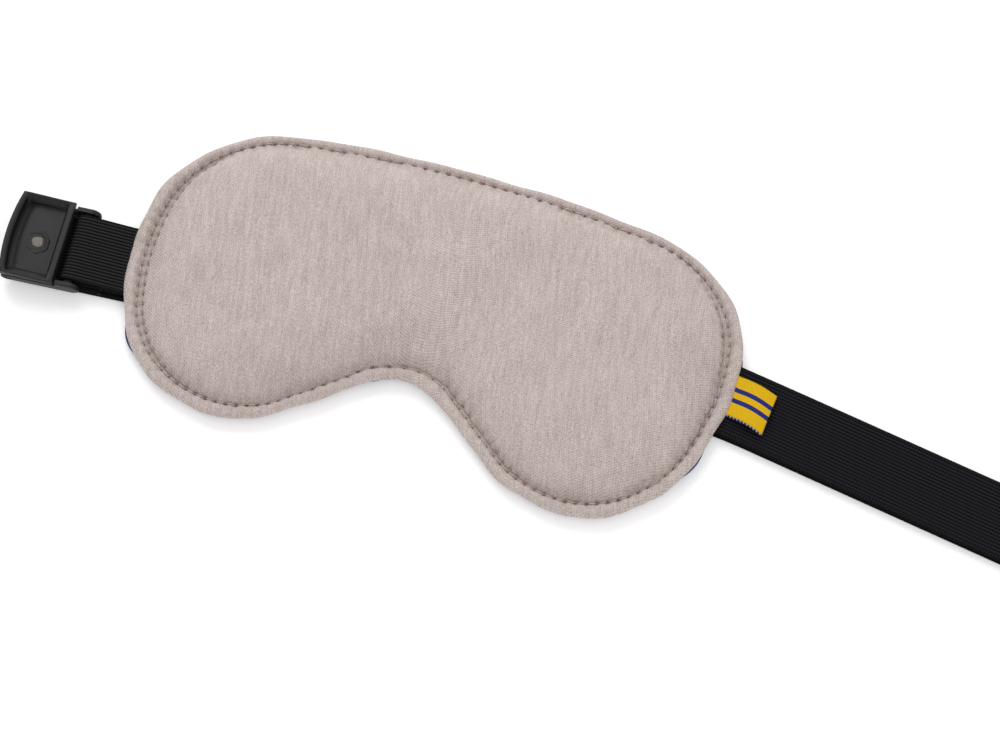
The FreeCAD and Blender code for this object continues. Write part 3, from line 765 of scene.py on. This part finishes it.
# %% [markdown]
# ## The side label
# A satin-woven ribbon, folded in two with its ends in the seam. The upper layer
# runs out to a rounded fold and comes back beneath. It is stiff enough to
# arch off the strap. Two plain blue stripes are its only pattern.

# %% Build the label
label_low, label_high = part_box("side_label")
LABEL_THICK = 0.32 * MM
label_start = label_low.x - 2.4 * MM
label_end = label_high.x - 1.2 * MM
seam_top_y = label_high.y
label_span = 14.5 * MM
FAR_EDGE_SLANT = 1.1 * MM
skew = 3.3 * MM


def label_height(x):
    """The label's middle height: it arches off the strap and comes down at its free end."""
    out = (x - label_low.x) / (label_end - label_low.x)
    return label_low.z + 0.45 * MM + 1.7 * MM * math.sin(math.pi * 0.9 * max(out, 0))


def label_row(x, layer):
    """A row of points across the label. layer is 1 on the upper ribbon and -1 on the lower."""
    row = []
    for k in range(13):
        share = k / 12
        out = (x - label_low.x) / (label_end - label_low.x)
        y = seam_top_y - label_span * share - skew * max(out, -0.1)
        bow = 0.35 * MM * math.sin(math.pi * share) * max(out, 0)
        slant = FAR_EDGE_SLANT * share * max(out, 0)
        row.append(Vector((x - slant, y, label_height(x) + bow + layer * (LABEL_THICK / 2 + 0.08 * MM))))
    return row


label_rows = [label_row(label_start + (label_end - label_start) * k / 16, 1) for k in range(17)]
for angle in (60, 30, 0, -30, -60):
    ahead = 0.25 * MM * math.cos(math.radians(angle))
    folded_row = label_row(label_end, math.sin(math.radians(angle)))
    label_rows.append([p + Vector((ahead, 0, 0)) for p in folded_row])
label_rows += [label_row(label_end - (label_end - label_start) * k / 16, -1) for k in range(17)]
label_mesh = bmesh.new()
made = extrude_rows(label_mesh, label_rows, closed=False)
label_mesh.verts.index_update()
label_u = [0.0] * len(label_mesh.verts)
label_v = [0.0] * len(label_mesh.verts)
for r, row in enumerate(made):
    for k, vertex in enumerate(row):
        label_u[vertex.index] = min(r, len(made) - 1 - r) / 18
        label_v[vertex.index] = k / 12
label = to_object(label_mesh, "woven_label", None)
for key, values in (("out", label_u), ("down", label_v)):
    layer = label.data.attributes.new(key, "FLOAT", "POINT")
    layer.data.foreach_set("value", values)
wall = label.modifiers.new("ribbon", "SOLIDIFY")
wall.thickness = LABEL_THICK
wall.offset = 0
bpy.ops.object.select_all(action="DESELECT")
label.select_set(True)
bpy.context.view_layer.objects.active = label
bpy.ops.object.modifier_apply(modifier=wall.name)
print("label:", len(label.data.polygons), "faces")

# %% [markdown]
# ## The buckle's lever
# The lever is a shallow moulded tray with a curved thumb end. A block with a
# boolean pocket would have hard edges, but a moulding has draft: its rails
# slope down to the floor and its corners are soft. So the tray is one closed
# row of points, pulled up the outside, over the rim and down into the tray.


# %% Places on the buckle, in the strap's own directions
def on_buckle(u, v, z):
    """A point u along the strap from the hinge, v across it and z up."""
    return left_line.start + left_line.way * u + left_line.side * v + Vector((0, 0, z))


def buckle_span(node):
    """A buckle node's least and greatest u and v."""
    places = [v.co - left_line.start for v in frame["nodes"][node].data.vertices]
    us = [p.dot(left_line.way) for p in places]
    vs = [p.dot(left_line.side) for p in places]
    return min(us), max(us), min(vs), max(vs)


lever_left, lever_right, _, lever_half = buckle_span("buckle_lever")
lever_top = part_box("buckle_lever")[1].z
lever_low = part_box("buckle_body")[1].z - 1.4 * MM
END_RADIUS = 66 * MM
LIP_DROP = 1.0 * MM
print("lever", [round(x / MM, 2) for x in (lever_left, lever_right, lever_half, lever_low, lever_top)])


def rim_height(u):
    """The tray's rim slopes from the thumb end down to the bar."""
    return lever_top - LIP_DROP * smooth_step(lever_left + 2 * MM, lever_right, u)


def tray_row(left, side, right, low_left, low_side, low_right):
    """A row round the tray: how far in each side is (mm), and how high, as a share of the rim."""
    half = lever_half - side * MM
    row = []

    def add(u, v, share):
        top = rim_height(u)
        row.append(on_buckle(u, v, lever_low + (top - lever_low) * share))

    def curved_end(v):
        return lever_left + END_RADIUS - math.sqrt(END_RADIUS ** 2 - v ** 2) + left * MM

    for k in range(17):
        v = half * (1 - k / 8)
        add(curved_end(v), v, low_left)
    for k in range(1, 8):
        add(curved_end(-half) + (lever_right - right * MM - curved_end(-half)) * k / 8, -half, low_side)
    for k in range(9):
        add(lever_right - right * MM, -half + 2 * half * k / 8, low_right)
    for k in range(7, 0, -1):
        add(curved_end(half) + (lever_right - right * MM - curved_end(half)) * k / 8, half, low_side)
    return row


# %% Build the tray
# Each row: how far in the thumb end, the sides and the free end are (mm), and
# the height of each as a share of the rim
TRAY = [
    (1.6, 1.6, 0.9, 0.00, 0.00, 0.00), (0.9, 0.9, 0.4, 0.03, 0.03, 0.03),
    (0.3, 0.3, 0.1, 0.25, 0.25, 0.25), (0.0, 0.0, 0.0, 0.50, 0.50, 0.50),
    (0.0, 0.0, 0.0, 0.91, 0.91, 0.90), (0.12, 0.12, 0.1, 0.98, 0.98, 0.98),
    (0.35, 0.3, 0.3, 1.00, 1.00, 1.00), (1.80, 0.6, 1.9, 1.00, 1.00, 1.00),
    (2.00, 0.8, 2.05, 0.94, 0.96, 0.95), (2.1, 1.7, 2.1, 0.55, 0.86, 0.60),
    (2.2, 2.7, 2.15, 0.14, 0.72, 0.24), (2.9, 2.85, 2.5, 0.06, 0.45, 0.20),
    (4.4, 3.05, 2.65, 0.18, 0.33, 0.33), (5.8, 3.4, 2.9, 0.33, 0.33, 0.33),
]
tray_mesh = bmesh.new()
extrude_rows(tray_mesh, [tray_row(*place) for place in TRAY], cap=True)
lever_tray = to_object(tray_mesh, "lever_tray", "lever")
print("tray:", len(lever_tray.data.polygons), "faces")


# %% [markdown]
# ## The lever's jaw and the buckle's body
# Both are already right in the CAD model, apart from their knife edges. A
# moulded edge is never sharp, so copies of the CAD meshes are merged, their
# flat triangles dissolved into whole faces, and every edge is bevelled.


# %% Soften copies of the CAD pieces
def softened(name, node, body, width, keep_below=None, keel=0.0, draft=0.0, widest=0.0):
    """A copy of a CAD piece with every edge bevelled by width.

    keep_below cuts its top off, keel rounds its lower side edges, draft leans its
    sides in towards the floor, and widest holds it within that far of the middle.
    """
    solid = bmesh.new()
    solid.from_mesh(frame["nodes"][node].data)
    bmesh.ops.remove_doubles(solid, verts=solid.verts, dist=0.005 * MM)
    if keep_below is not None:
        cut = bmesh.ops.bisect_plane(solid, geom=solid.verts[:] + solid.edges[:] + solid.faces[:],
                                     plane_co=(0, 0, keep_below), plane_no=(0, 0, 1), clear_outer=True)
        rim = [e for e in cut["geom_cut"] if isinstance(e, bmesh.types.BMEdge)]
        bmesh.ops.triangle_fill(solid, edges=rim, use_beauty=True)
    bmesh.ops.dissolve_limit(solid, angle_limit=math.radians(3), verts=solid.verts, edges=solid.edges)
    if keel:
        half = max((v.co - left_line.start).dot(left_line.side) for v in solid.verts)
        low = min(v.co.z for v in solid.verts)
        keel_edges = [e for e in solid.edges if all(
            v.co.z < low + 0.1 * MM and abs((v.co - left_line.start).dot(left_line.side)) > half - 0.1 * MM
            for v in e.verts)]
        bmesh.ops.bevel(solid, geom=keel_edges, offset=keel, affect="EDGES", segments=5, profile=0.5,
                        material=-1, clamp_overlap=True)
        for vertex in solid.verts:
            across = (vertex.co - left_line.start).dot(left_line.side)
            if abs(across) > half - 1.4 * MM:
                drawn_in = 0.4 * MM + draft * (1 - smooth_step(low, low + 5 * MM, vertex.co.z))
                vertex.co -= left_line.side * math.copysign(drawn_in, across)
    if widest:
        for vertex in solid.verts:
            across = (vertex.co - left_line.start).dot(left_line.side)
            vertex.co -= left_line.side * math.copysign(max(abs(across) - widest, 0), across)
    sharp = [e for e in solid.edges if len(e.link_faces) == 2 and e.calc_face_angle() > math.radians(40)]
    bmesh.ops.bevel(solid, geom=sharp, offset=width, affect="EDGES", segments=2, profile=0.5,
                    material=-1, clamp_overlap=True)
    mesh = bpy.data.meshes.new(name)
    solid.to_mesh(mesh)
    solid.free()
    for face in mesh.polygons:
        face.use_smooth = True
    mesh.set_sharp_from_angle(angle=math.radians(40))
    piece = bpy.data.objects.new(name, mesh)
    bpy.context.collection.objects.link(piece)
    level = piece.modifiers.new("even_shading", "WEIGHTED_NORMAL")
    level.keep_sharp = True
    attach(piece, body)
    print(f"{name}: {len(mesh.polygons)} faces")
    return piece


lever_jaw = softened("lever_jaw", "buckle_lever", "lever", 0.12 * MM, keep_below=lever_low + 0.45 * MM,
                     widest=13.6 * MM)
buckle_shell = softened("buckle_shell", "buckle_body", "mask", 0.25 * MM, keel=1.7 * MM, draft=0.9 * MM)

# %% [markdown]
# ## The gate mark
# Plastic entered the mould at the middle of the tray. Where the runner was
# snapped off it leaves a pale round scar in a rough, broken ring.

# %% Build the gate mark
gate_u = (lever_left + lever_right) / 2 + 0.8 * MM
gate_v = -1.0 * MM
floor_z = lever_low + (rim_height(gate_u) - lever_low) * TRAY[-1][3]
scar_mesh = bmesh.new()
disc = Matrix.Translation(on_buckle(gate_u, gate_v, floor_z + 0.06 * MM))
bmesh.ops.create_cone(scar_mesh, cap_ends=True, segments=28, radius1=2.0 * MM, radius2=1.75 * MM,
                      depth=0.24 * MM, matrix=disc)
for vertex in scar_mesh.verts:
    rough = noise.noise(vertex.co / (1.3 * MM))
    vertex.co += (vertex.co - disc.translation).normalized() * rough * 0.35 * MM
gate_scar = to_object(scar_mesh, "gate_scar", "lever")

# radius and height (mm) of each row of the ring
RING = [(2.7, -0.1), (3.05, 0.10), (3.5, 0.17), (3.9, 0.08), (4.2, -0.1)]
ring_mesh = bmesh.new()
ring_rows = []
for radius, height in RING:
    row = []
    for k in range(48):
        angle = k / 48 * math.tau
        ragged = noise.noise(Vector((math.cos(angle) * 2.6, math.sin(angle) * 2.6, radius * 0.4)))
        broken = 1 if noise.noise(Vector((math.cos(angle) * 1.5, math.sin(angle) * 1.5, 9))) > -0.12 else 0.1
        reach_out = (radius + 0.45 * ragged) * MM
        point = on_buckle(gate_u + reach_out * math.cos(angle), gate_v + reach_out * math.sin(angle), floor_z)
        row.append(point + Vector((0, 0, (height * broken + 0.05 * ragged) * MM)))
    ring_rows.append(row)
extrude_rows(ring_mesh, ring_rows, tube=True)
gate_ring = to_object(ring_mesh, "gate_ring", "lever")

# %% [markdown]
# ## Heather jersey
# The face cloth is a fine cotton-and-polyester single jersey. Its wales run from
# nose to forehead. Mixed fibres give soft lengthways streaks, and the loops give
# a fine grain. The real loops are about 0.45 mm apart, too fine to show, so the
# wales are drawn at 0.75 mm and the cross ribs at 0.85 mm.


# %% Make the jersey
WAVE = math.tau / 20                # a Wave texture at this scale repeats once in each unit


def wave_lines(tree, place, way, pitch, waver):
    """Fine parallel lines this far apart, wavering a little like yarn."""
    share = 0.5 if way == "DIAGONAL" else 1.0
    return add_node(tree, "ShaderNodeTexWave",
                    {"bands_direction": way, "Scale": WAVE / (pitch * share), "Distortion": waver,
                     "Detail": 2.0, "Detail Scale": 1.2}, Vector=place).outputs["Fac"]


def jersey_cloth():
    # single jersey, brushed: matt, with a faint fuzz that lightens grazing views
    material, tree, shader = new_material("heather_single_jersey")
    place = add_node(tree, "ShaderNodeTexCoord").outputs["Object"]
    # the cloth is drawn towards the seams, so its rows of loops bend a little
    bend = add_node(tree, "ShaderNodeTexNoise", {"Scale": 1 / (45 * MM), "Detail": 1.0}, Vector=place)
    bent = add_node(tree, "ShaderNodeMapping", Vector=bend.outputs["Color"])
    bent.inputs["Scale"].default_value = (5 * MM, 5 * MM, 0)
    drawn = add_node(tree, "ShaderNodeVectorMath", {"operation": "ADD"}, n0=place, n1=bent.outputs[0])
    # the cloth was cut a little off its straight grain
    drawn = add_node(tree, "ShaderNodeMapping", Vector=drawn.outputs[0])
    drawn.inputs["Rotation"].default_value = (0, 0, math.radians(-11))
    drawn = drawn.outputs[0]
    slub_place = add_node(tree, "ShaderNodeMapping", Vector=drawn)
    slub_place.inputs["Scale"].default_value = (1 / (1.0 * MM), 1 / (9 * MM), 1 / (6 * MM))
    slub = add_node(tree, "ShaderNodeTexNoise", {"Scale": 1.0, "Detail": 3.0, "Roughness": 0.55},
                    Vector=slub_place.outputs[0])
    fleck = add_node(tree, "ShaderNodeTexNoise", {"Scale": 1 / (0.6 * MM), "Detail": 3.0, "Roughness": 0.7},
                     Vector=place)
    patch = add_node(tree, "ShaderNodeTexNoise", {"Scale": 1 / (16 * MM), "Detail": 2.0}, Vector=drawn)
    wales = wave_lines(tree, drawn, "X", 0.75 * MM, 3.0)
    # the fine cross ribs are pulled down towards the nose, so they dip there in a soft V
    spots = add_node(tree, "ShaderNodeSeparateXYZ", n0=place)
    square = add_node(tree, "ShaderNodeMath", {"operation": "POWER", 1: 2.0}, n0=spots.outputs[0])
    square = add_node(tree, "ShaderNodeMath", {"operation": "ADD", 1: (12 * MM) ** 2}, n0=square.outputs[0])
    away = add_node(tree, "ShaderNodeMath", {"operation": "SQRT"}, n0=square.outputs[0])
    dip = add_node(tree, "ShaderNodeMath", {"operation": "MULTIPLY_ADD", 1: -0.7}, n0=away.outputs[0],
                   n2=spots.outputs[1])
    cross = add_node(tree, "ShaderNodeCombineXYZ", n0=dip.outputs[0], n1=spots.outputs[0])
    ribs = wave_lines(tree, cross.outputs[0], "X", 0.85 * MM, 1.8)
    knit = add_node(tree, "ShaderNodeMath", {"operation": "MULTIPLY_ADD", 1: 0.6}, n0=wales, n2=ribs)
    tone = add_node(tree, "ShaderNodeMath", {"operation": "MULTIPLY_ADD", 1: 0.45}, n0=slub.outputs["Fac"],
                    n2=fleck.outputs["Fac"])
    tone = add_node(tree, "ShaderNodeMath", {"operation": "MULTIPLY_ADD", 1: 0.15}, n0=patch.outputs["Fac"],
                    n2=tone.outputs[0])
    tone = add_node(tree, "ShaderNodeMath", {"operation": "MULTIPLY_ADD", 1: 0.17}, n0=knit.outputs[0],
                    n2=tone.outputs[0])
    ramp = add_node(tree, "ShaderNodeMapRange", {1: 0.62, 2: 1.30}, n0=tone.outputs[0])
    colour = add_node(tree, "ShaderNodeValToRGB", n0=ramp.outputs[0])
    colour.color_ramp.elements[0].color = linear("#9f8d87")
    colour.color_ramp.elements[1].color = linear("#dfd4cf")
    tree.links.new(colour.outputs["Color"], shader.inputs["Base Color"])
    shader.inputs["Roughness"].default_value = 0.92
    shader.inputs["Specular IOR Level"].default_value = 0.2
    shader.inputs["Sheen Weight"].default_value = 0.12
    shader.inputs["Sheen Roughness"].default_value = 0.6
    grain = add_node(tree, "ShaderNodeMath", {"operation": "MULTIPLY_ADD", 1: 0.35}, n0=knit.outputs[0],
                     n2=fleck.outputs["Fac"])
    bump = add_node(tree, "ShaderNodeBump", {"Strength": 1.0, "Distance": 0.2 * MM},
                    Height=grain.outputs[0])
    tree.links.new(bump.outputs["Normal"], shader.inputs["Normal"])
    return material


def plain_cloth(name, colour, light, roughness, grain_mm, depth):
    """A woven or knitted cloth of one colour, with yarn-to-yarn variation and a grain."""
    material, tree, shader = new_material(name)
    place = add_node(tree, "ShaderNodeTexCoord").outputs["Object"]
    yarn = add_node(tree, "ShaderNodeTexNoise", {"Scale": 1 / (grain_mm * MM), "Detail": 4.0,
                                                 "Roughness": 0.65}, Vector=place)
    ramp = add_node(tree, "ShaderNodeValToRGB", n0=yarn.outputs["Fac"])
    ramp.color_ramp.elements[0].position = 0.3
    ramp.color_ramp.elements[0].color = linear(colour)
    ramp.color_ramp.elements[1].position = 0.75
    ramp.color_ramp.elements[1].color = linear(light)
    tree.links.new(ramp.outputs["Color"], shader.inputs["Base Color"])
    shader.inputs["Roughness"].default_value = roughness
    shader.inputs["Specular IOR Level"].default_value = 0.2
    bump = add_node(tree, "ShaderNodeBump", {"Strength": 0.5, "Distance": depth * MM},
                    Height=yarn.outputs["Fac"])
    tree.links.new(bump.outputs["Normal"], shader.inputs["Normal"])
    return material


def elastic_weave(name, dark_weave_and_groove_shade, light_weave_and_crest_highlight, rib_shade_share, weave_share):
    # covered rubber cores with a polyester weft: black and matt, the weft crossing each rib; the rib height
    # paints shade into the grooves and a highlight on the crests
    material, tree, shader = new_material(name)
    along = add_node(tree, "ShaderNodeAttribute", {"attribute_name": "along"}).outputs["Fac"]
    across = add_node(tree, "ShaderNodeAttribute", {"attribute_name": "across"}).outputs["Fac"]
    ridge = add_node(tree, "ShaderNodeAttribute", {"attribute_name": "ridge"}).outputs["Fac"]
    spot = add_node(tree, "ShaderNodeCombineXYZ", n0=along, n1=across).outputs[0]
    # the weft is about 0.4 mm apart; drawn at 1.0 and 1.3 mm, so that it shows
    weft = wave_lines(tree, spot, "X", 1.0 * MM, 1.5)
    slant = wave_lines(tree, spot, "DIAGONAL", 1.3 * MM, 1.0)
    thread = add_node(tree, "ShaderNodeTexNoise", {"Scale": 1 / (0.5 * MM), "Detail": 3.0}, Vector=spot)
    weave = add_node(tree, "ShaderNodeMath", {"operation": "ADD"}, n0=weft, n1=slant)
    weave = add_node(tree, "ShaderNodeMath", {"operation": "ADD"}, n0=weave.outputs[0],
                     n1=thread.outputs["Fac"])
    shade = add_node(tree, "ShaderNodeMath", {"operation": "MULTIPLY", 1: weave_share}, n0=weave.outputs[0])
    # painted shade and highlight: the rib height darkens the grooves and lightens the crests
    shade = add_node(tree, "ShaderNodeMath", {"operation": "MULTIPLY_ADD", 1: rib_shade_share}, n0=ridge,
                     n2=shade.outputs[0])
    colour = add_node(tree, "ShaderNodeValToRGB", n0=shade.outputs[0])
    colour.color_ramp.elements[0].position = 0.42
    colour.color_ramp.elements[0].color = linear(dark_weave_and_groove_shade)
    colour.color_ramp.elements[1].position = 0.95
    colour.color_ramp.elements[1].color = linear(light_weave_and_crest_highlight)
    tree.links.new(colour.outputs["Color"], shader.inputs["Base Color"])
    shader.inputs["Roughness"].default_value = 0.8
    shader.inputs["Specular IOR Level"].default_value = 0.12
    bump = add_node(tree, "ShaderNodeBump", {"Strength": 0.4, "Distance": 0.08 * MM},
                    Height=weave.outputs[0])
    tree.links.new(bump.outputs["Normal"], shader.inputs["Normal"])
    return material


def satin_label():
    # damask-woven polyester: yellow satin ground, blue weft stripes, a faint thread grain
    material, tree, shader = new_material("damask_woven_label")
    out = add_node(tree, "ShaderNodeAttribute", {"attribute_name": "out"}).outputs["Fac"]
    down = add_node(tree, "ShaderNodeAttribute", {"attribute_name": "down"}).outputs["Fac"]
    stripes = None
    for middle, half in ((0.34, 0.055), (0.60, 0.055)):
        off = add_node(tree, "ShaderNodeMath", {"operation": "SUBTRACT", 1: middle}, n0=down)
        far = add_node(tree, "ShaderNodeMath", {"operation": "ABSOLUTE"}, n0=off.outputs[0])
        inside = add_node(tree, "ShaderNodeMath", {"operation": "LESS_THAN", 1: half}, n0=far.outputs[0])
        if stripes is None:
            stripes = inside.outputs[0]
        else:
            stripes = add_node(tree, "ShaderNodeMath", {"operation": "MAXIMUM"}, n0=stripes,
                               n1=inside.outputs[0]).outputs[0]
    picks = add_node(tree, "ShaderNodeMath", {"operation": "MULTIPLY", 1: math.tau * 34}, n0=down)
    grain = add_node(tree, "ShaderNodeMath", {"operation": "SINE"}, n0=picks.outputs[0])
    ends = add_node(tree, "ShaderNodeMath", {"operation": "MULTIPLY", 1: math.tau * 30}, n0=out)
    weft = add_node(tree, "ShaderNodeMath", {"operation": "SINE"}, n0=ends.outputs[0])
    cloth = add_node(tree, "ShaderNodeMath", {"operation": "MULTIPLY"}, n0=grain.outputs[0],
                     n1=weft.outputs[0])
    # the heat-cut lower edge is bound with white and blue stitches
    beats = add_node(tree, "ShaderNodeMath", {"operation": "MULTIPLY", 1: math.tau * 13}, n0=out)
    beat = add_node(tree, "ShaderNodeMath", {"operation": "SINE"}, n0=beats.outputs[0])
    white = add_node(tree, "ShaderNodeMath", {"operation": "GREATER_THAN", 1: 0.2}, n0=beat.outputs[0])
    edge = add_node(tree, "ShaderNodeMath", {"operation": "GREATER_THAN", 1: 0.982}, n0=down)
    ground = add_node(tree, "ShaderNodeValToRGB", n0=cloth.outputs[0])
    ground.color_ramp.elements[0].color = linear("#cfa008")
    ground.color_ramp.elements[1].color = linear("#fbd41a")
    mix = add_node(tree, "ShaderNodeMix", {"data_type": "RGBA"})
    tree.links.new(stripes, mix.inputs["Factor"])
    tree.links.new(ground.outputs["Color"], mix.inputs[6])
    mix.inputs[7].default_value = linear("#1f2a72")
    bound = add_node(tree, "ShaderNodeMix", {"data_type": "RGBA"})
    tree.links.new(white.outputs[0], bound.inputs["Factor"])
    bound.inputs[6].default_value = linear("#2b3a6e")
    bound.inputs[7].default_value = linear("#aeb1bd")
    whole = add_node(tree, "ShaderNodeMix", {"data_type": "RGBA"})
    tree.links.new(edge.outputs[0], whole.inputs["Factor"])
    tree.links.new(mix.outputs[2], whole.inputs[6])
    tree.links.new(bound.outputs[2], whole.inputs[7])
    tree.links.new(whole.outputs[2], shader.inputs["Base Color"])
    shader.inputs["Roughness"].default_value = 0.7
    shader.inputs["Specular IOR Level"].default_value = 0.15
    bump = add_node(tree, "ShaderNodeBump", {"Strength": 0.4, "Distance": 0.06 * MM}, Height=cloth.outputs[0])
    tree.links.new(bump.outputs["Normal"], shader.inputs["Normal"])
    return material


def moulded_plastic():
    # injection-moulded acetal: near black, spark-textured, a soft broad highlight
    material, tree, shader = new_material("moulded_acetal")
    place = add_node(tree, "ShaderNodeTexCoord").outputs["Object"]
    spark = add_node(tree, "ShaderNodeTexNoise", {"Scale": 1 / (0.35 * MM), "Detail": 4.0}, Vector=place)
    flow = add_node(tree, "ShaderNodeTexNoise", {"Scale": 1 / (6 * MM), "Detail": 2.0}, Vector=place)
    ramp = add_node(tree, "ShaderNodeValToRGB", n0=flow.outputs["Fac"])
    ramp.color_ramp.elements[0].color = linear("#0b0b0b")
    ramp.color_ramp.elements[1].color = linear("#131313")
    tree.links.new(ramp.outputs["Color"], shader.inputs["Base Color"])
    shader.inputs["Roughness"].default_value = 0.5
    shader.inputs["IOR"].default_value = 1.48
    shader.inputs["Specular IOR Level"].default_value = 0.4
    bump = add_node(tree, "ShaderNodeBump", {"Strength": 0.25, "Distance": 0.04 * MM},
                    Height=spark.outputs["Fac"])
    tree.links.new(bump.outputs["Normal"], shader.inputs["Normal"])
    return material


jersey = jersey_cloth()
navy = plain_cloth("brushed_navy_lining", "#2a3350", "#434e6f", 0.9, 0.8, 0.15)
thread_cloth = plain_cloth("spun_polyester_thread", "#a8978f", "#c9bab4", 0.7, 0.4, 0.05)
hole_shade = plain_cloth("needle_hole_shadow", "#86736d", "#96827b", 0.95, 0.5, 0.02)
black_thread = plain_cloth("black_overcast_thread", "#0b0b0c", "#1c1c1f", 0.75, 0.4, 0.05)
# each elastic's darkest colour is its dark weft and the painted shade in its grooves, its lightest the light
# weft and the painted highlight on its crests
ribbed = elastic_weave("ribbed_knitted_elastic", "#010101", "#2a2a2b", 0.75, 0.14)
woven = elastic_weave("flat_woven_elastic", "#000000", "#222027", 0.66, 0.18)
satin = satin_label()
scar = plain_cloth("torn_gate_scar", "#6b6860", "#8a877c", 0.7, 0.5, 0.05)
acetal = moulded_plastic()

# %% [markdown]
# ## Dress the pieces
# Each piece gets its material, and the CAD nodes it stands for are hidden.
# The hidden layers keep their CAD solids and get cloth too.

# %% Assign materials and stand-ins
finishes = [
    (pad, jersey, "face_jersey", ["face_panel", "foam_pad"]),
    (flange, jersey, "face_jersey", ["face_panel"]),
    (lining, navy, "lining_cloth", ["lining_panel", "seam_thread"]),
    (stitches, thread_cloth, "stitch_thread", ["topstitch_thread"]),
    (holes, hole_shade, "stitch_thread", []),
    (short_strap, ribbed, "elastic", ["short_strap"]),
    (head_strap, woven, "elastic", ["head_strap"]),
    (overcast, black_thread, "black_thread", ["strap_end_overlock"]),
    (label, satin, "woven_label", ["side_label"]),
    (lever_tray, acetal, "moulded_plastic", ["buckle_lever"]),
    (lever_jaw, acetal, "moulded_plastic", ["buckle_lever"]),
    (gate_ring, acetal, "moulded_plastic", []),
    (gate_scar, scar, "moulded_plastic", []),
    (buckle_shell, acetal, "moulded_plastic", ["buckle_body"]),
]
for piece, material, slot, nodes in finishes:
    piece.data.materials.clear()
    piece.data.materials.append(material)
    if nodes:
        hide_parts(*nodes)
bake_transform(label)

film = plain_cloth("coated_blackout_cloth", "#0d0d0e", "#17171a", 0.6, 0.9, 0.03)
for slot in frame["nodes"]["blackout_interlining"].material_slots:
    slot.material = film
print("dressed", len(finishes), "new pieces")

# %% [markdown]
# ## Floor, light and camera
# A pale table, lit softly from beneath, and big soft lights keep the shadows open. The camera
# looks down steeply with a long lens, turned a little to the right.

# %% Floor
floor_mesh = bmesh.new()
bmesh.ops.create_grid(floor_mesh, x_segments=1, y_segments=1, size=20.0)
mesh = bpy.data.meshes.new("floor")
floor_mesh.to_mesh(mesh)
floor_mesh.free()
floor = bpy.data.objects.new("floor", mesh)
bpy.context.collection.objects.link(floor)
floor.location.z = -0.05 * MM
paper, _, paper_shader = new_material("pale_paper_floor")
paper_shader.inputs["Base Color"].default_value = linear("#fbfbfb")
paper_shader.inputs["Roughness"].default_value = 0.9
paper_shader.inputs["Specular IOR Level"].default_value = 0.1
paper_shader.inputs["Emission Color"].default_value = (1, 1, 1, 1)
paper_shader.inputs["Emission Strength"].default_value = 0.22
floor.data.materials.append(paper)

# %% Camera
azimuth, elevation = math.radians(17.3), math.radians(65.0)
back = Vector((math.sin(azimuth) * math.cos(elevation), -math.cos(azimuth) * math.cos(elevation),
               math.sin(elevation)))
right = Vector((math.cos(azimuth), math.sin(azimuth), 0))
up = back.cross(right)
target = Vector((0, 0, 5 * MM)) + right * 20.97 * MM - up * 21.4 * MM
lens, sensor, span = 135.0, 36.0, 323.6 * MM
camera_data = bpy.data.cameras.new("camera")
camera_data.lens = lens
camera_data.sensor_width = sensor
camera_data.clip_start = 0.05
camera = bpy.data.objects.new("camera", camera_data)
bpy.context.collection.objects.link(camera)
camera.location = target + back * (lens * span / sensor)
camera.rotation_euler = back.to_track_quat("Z", "Y").to_euler()
bpy.context.scene.camera = camera


# %% Lights
def softbox(name, place, size, power, aim=(0, 0, 0)):
    data = bpy.data.lights.new(name, "AREA")
    data.shape = "DISK"
    data.size = size
    data.energy = power
    light = bpy.data.objects.new(name, data)
    bpy.context.collection.objects.link(light)
    light.location = place
    light.rotation_euler = (Vector(place) - Vector(aim)).to_track_quat("Z", "Y").to_euler()


softbox("key_softbox", (-0.7, 1.0, 1.1), 1.3, 11.5)
softbox("fill_softbox", (0.9, -0.7, 1.2), 1.4, 5.0)
world = bpy.data.worlds.new("studio")
bpy.context.scene.world = world
world.use_nodes = True
world.node_tree.nodes["Background"].inputs["Color"].default_value = (1, 1, 1, 1)
world.node_tree.nodes["Background"].inputs["Strength"].default_value = 0.68
bpy.context.scene.view_settings.view_transform = "Standard"
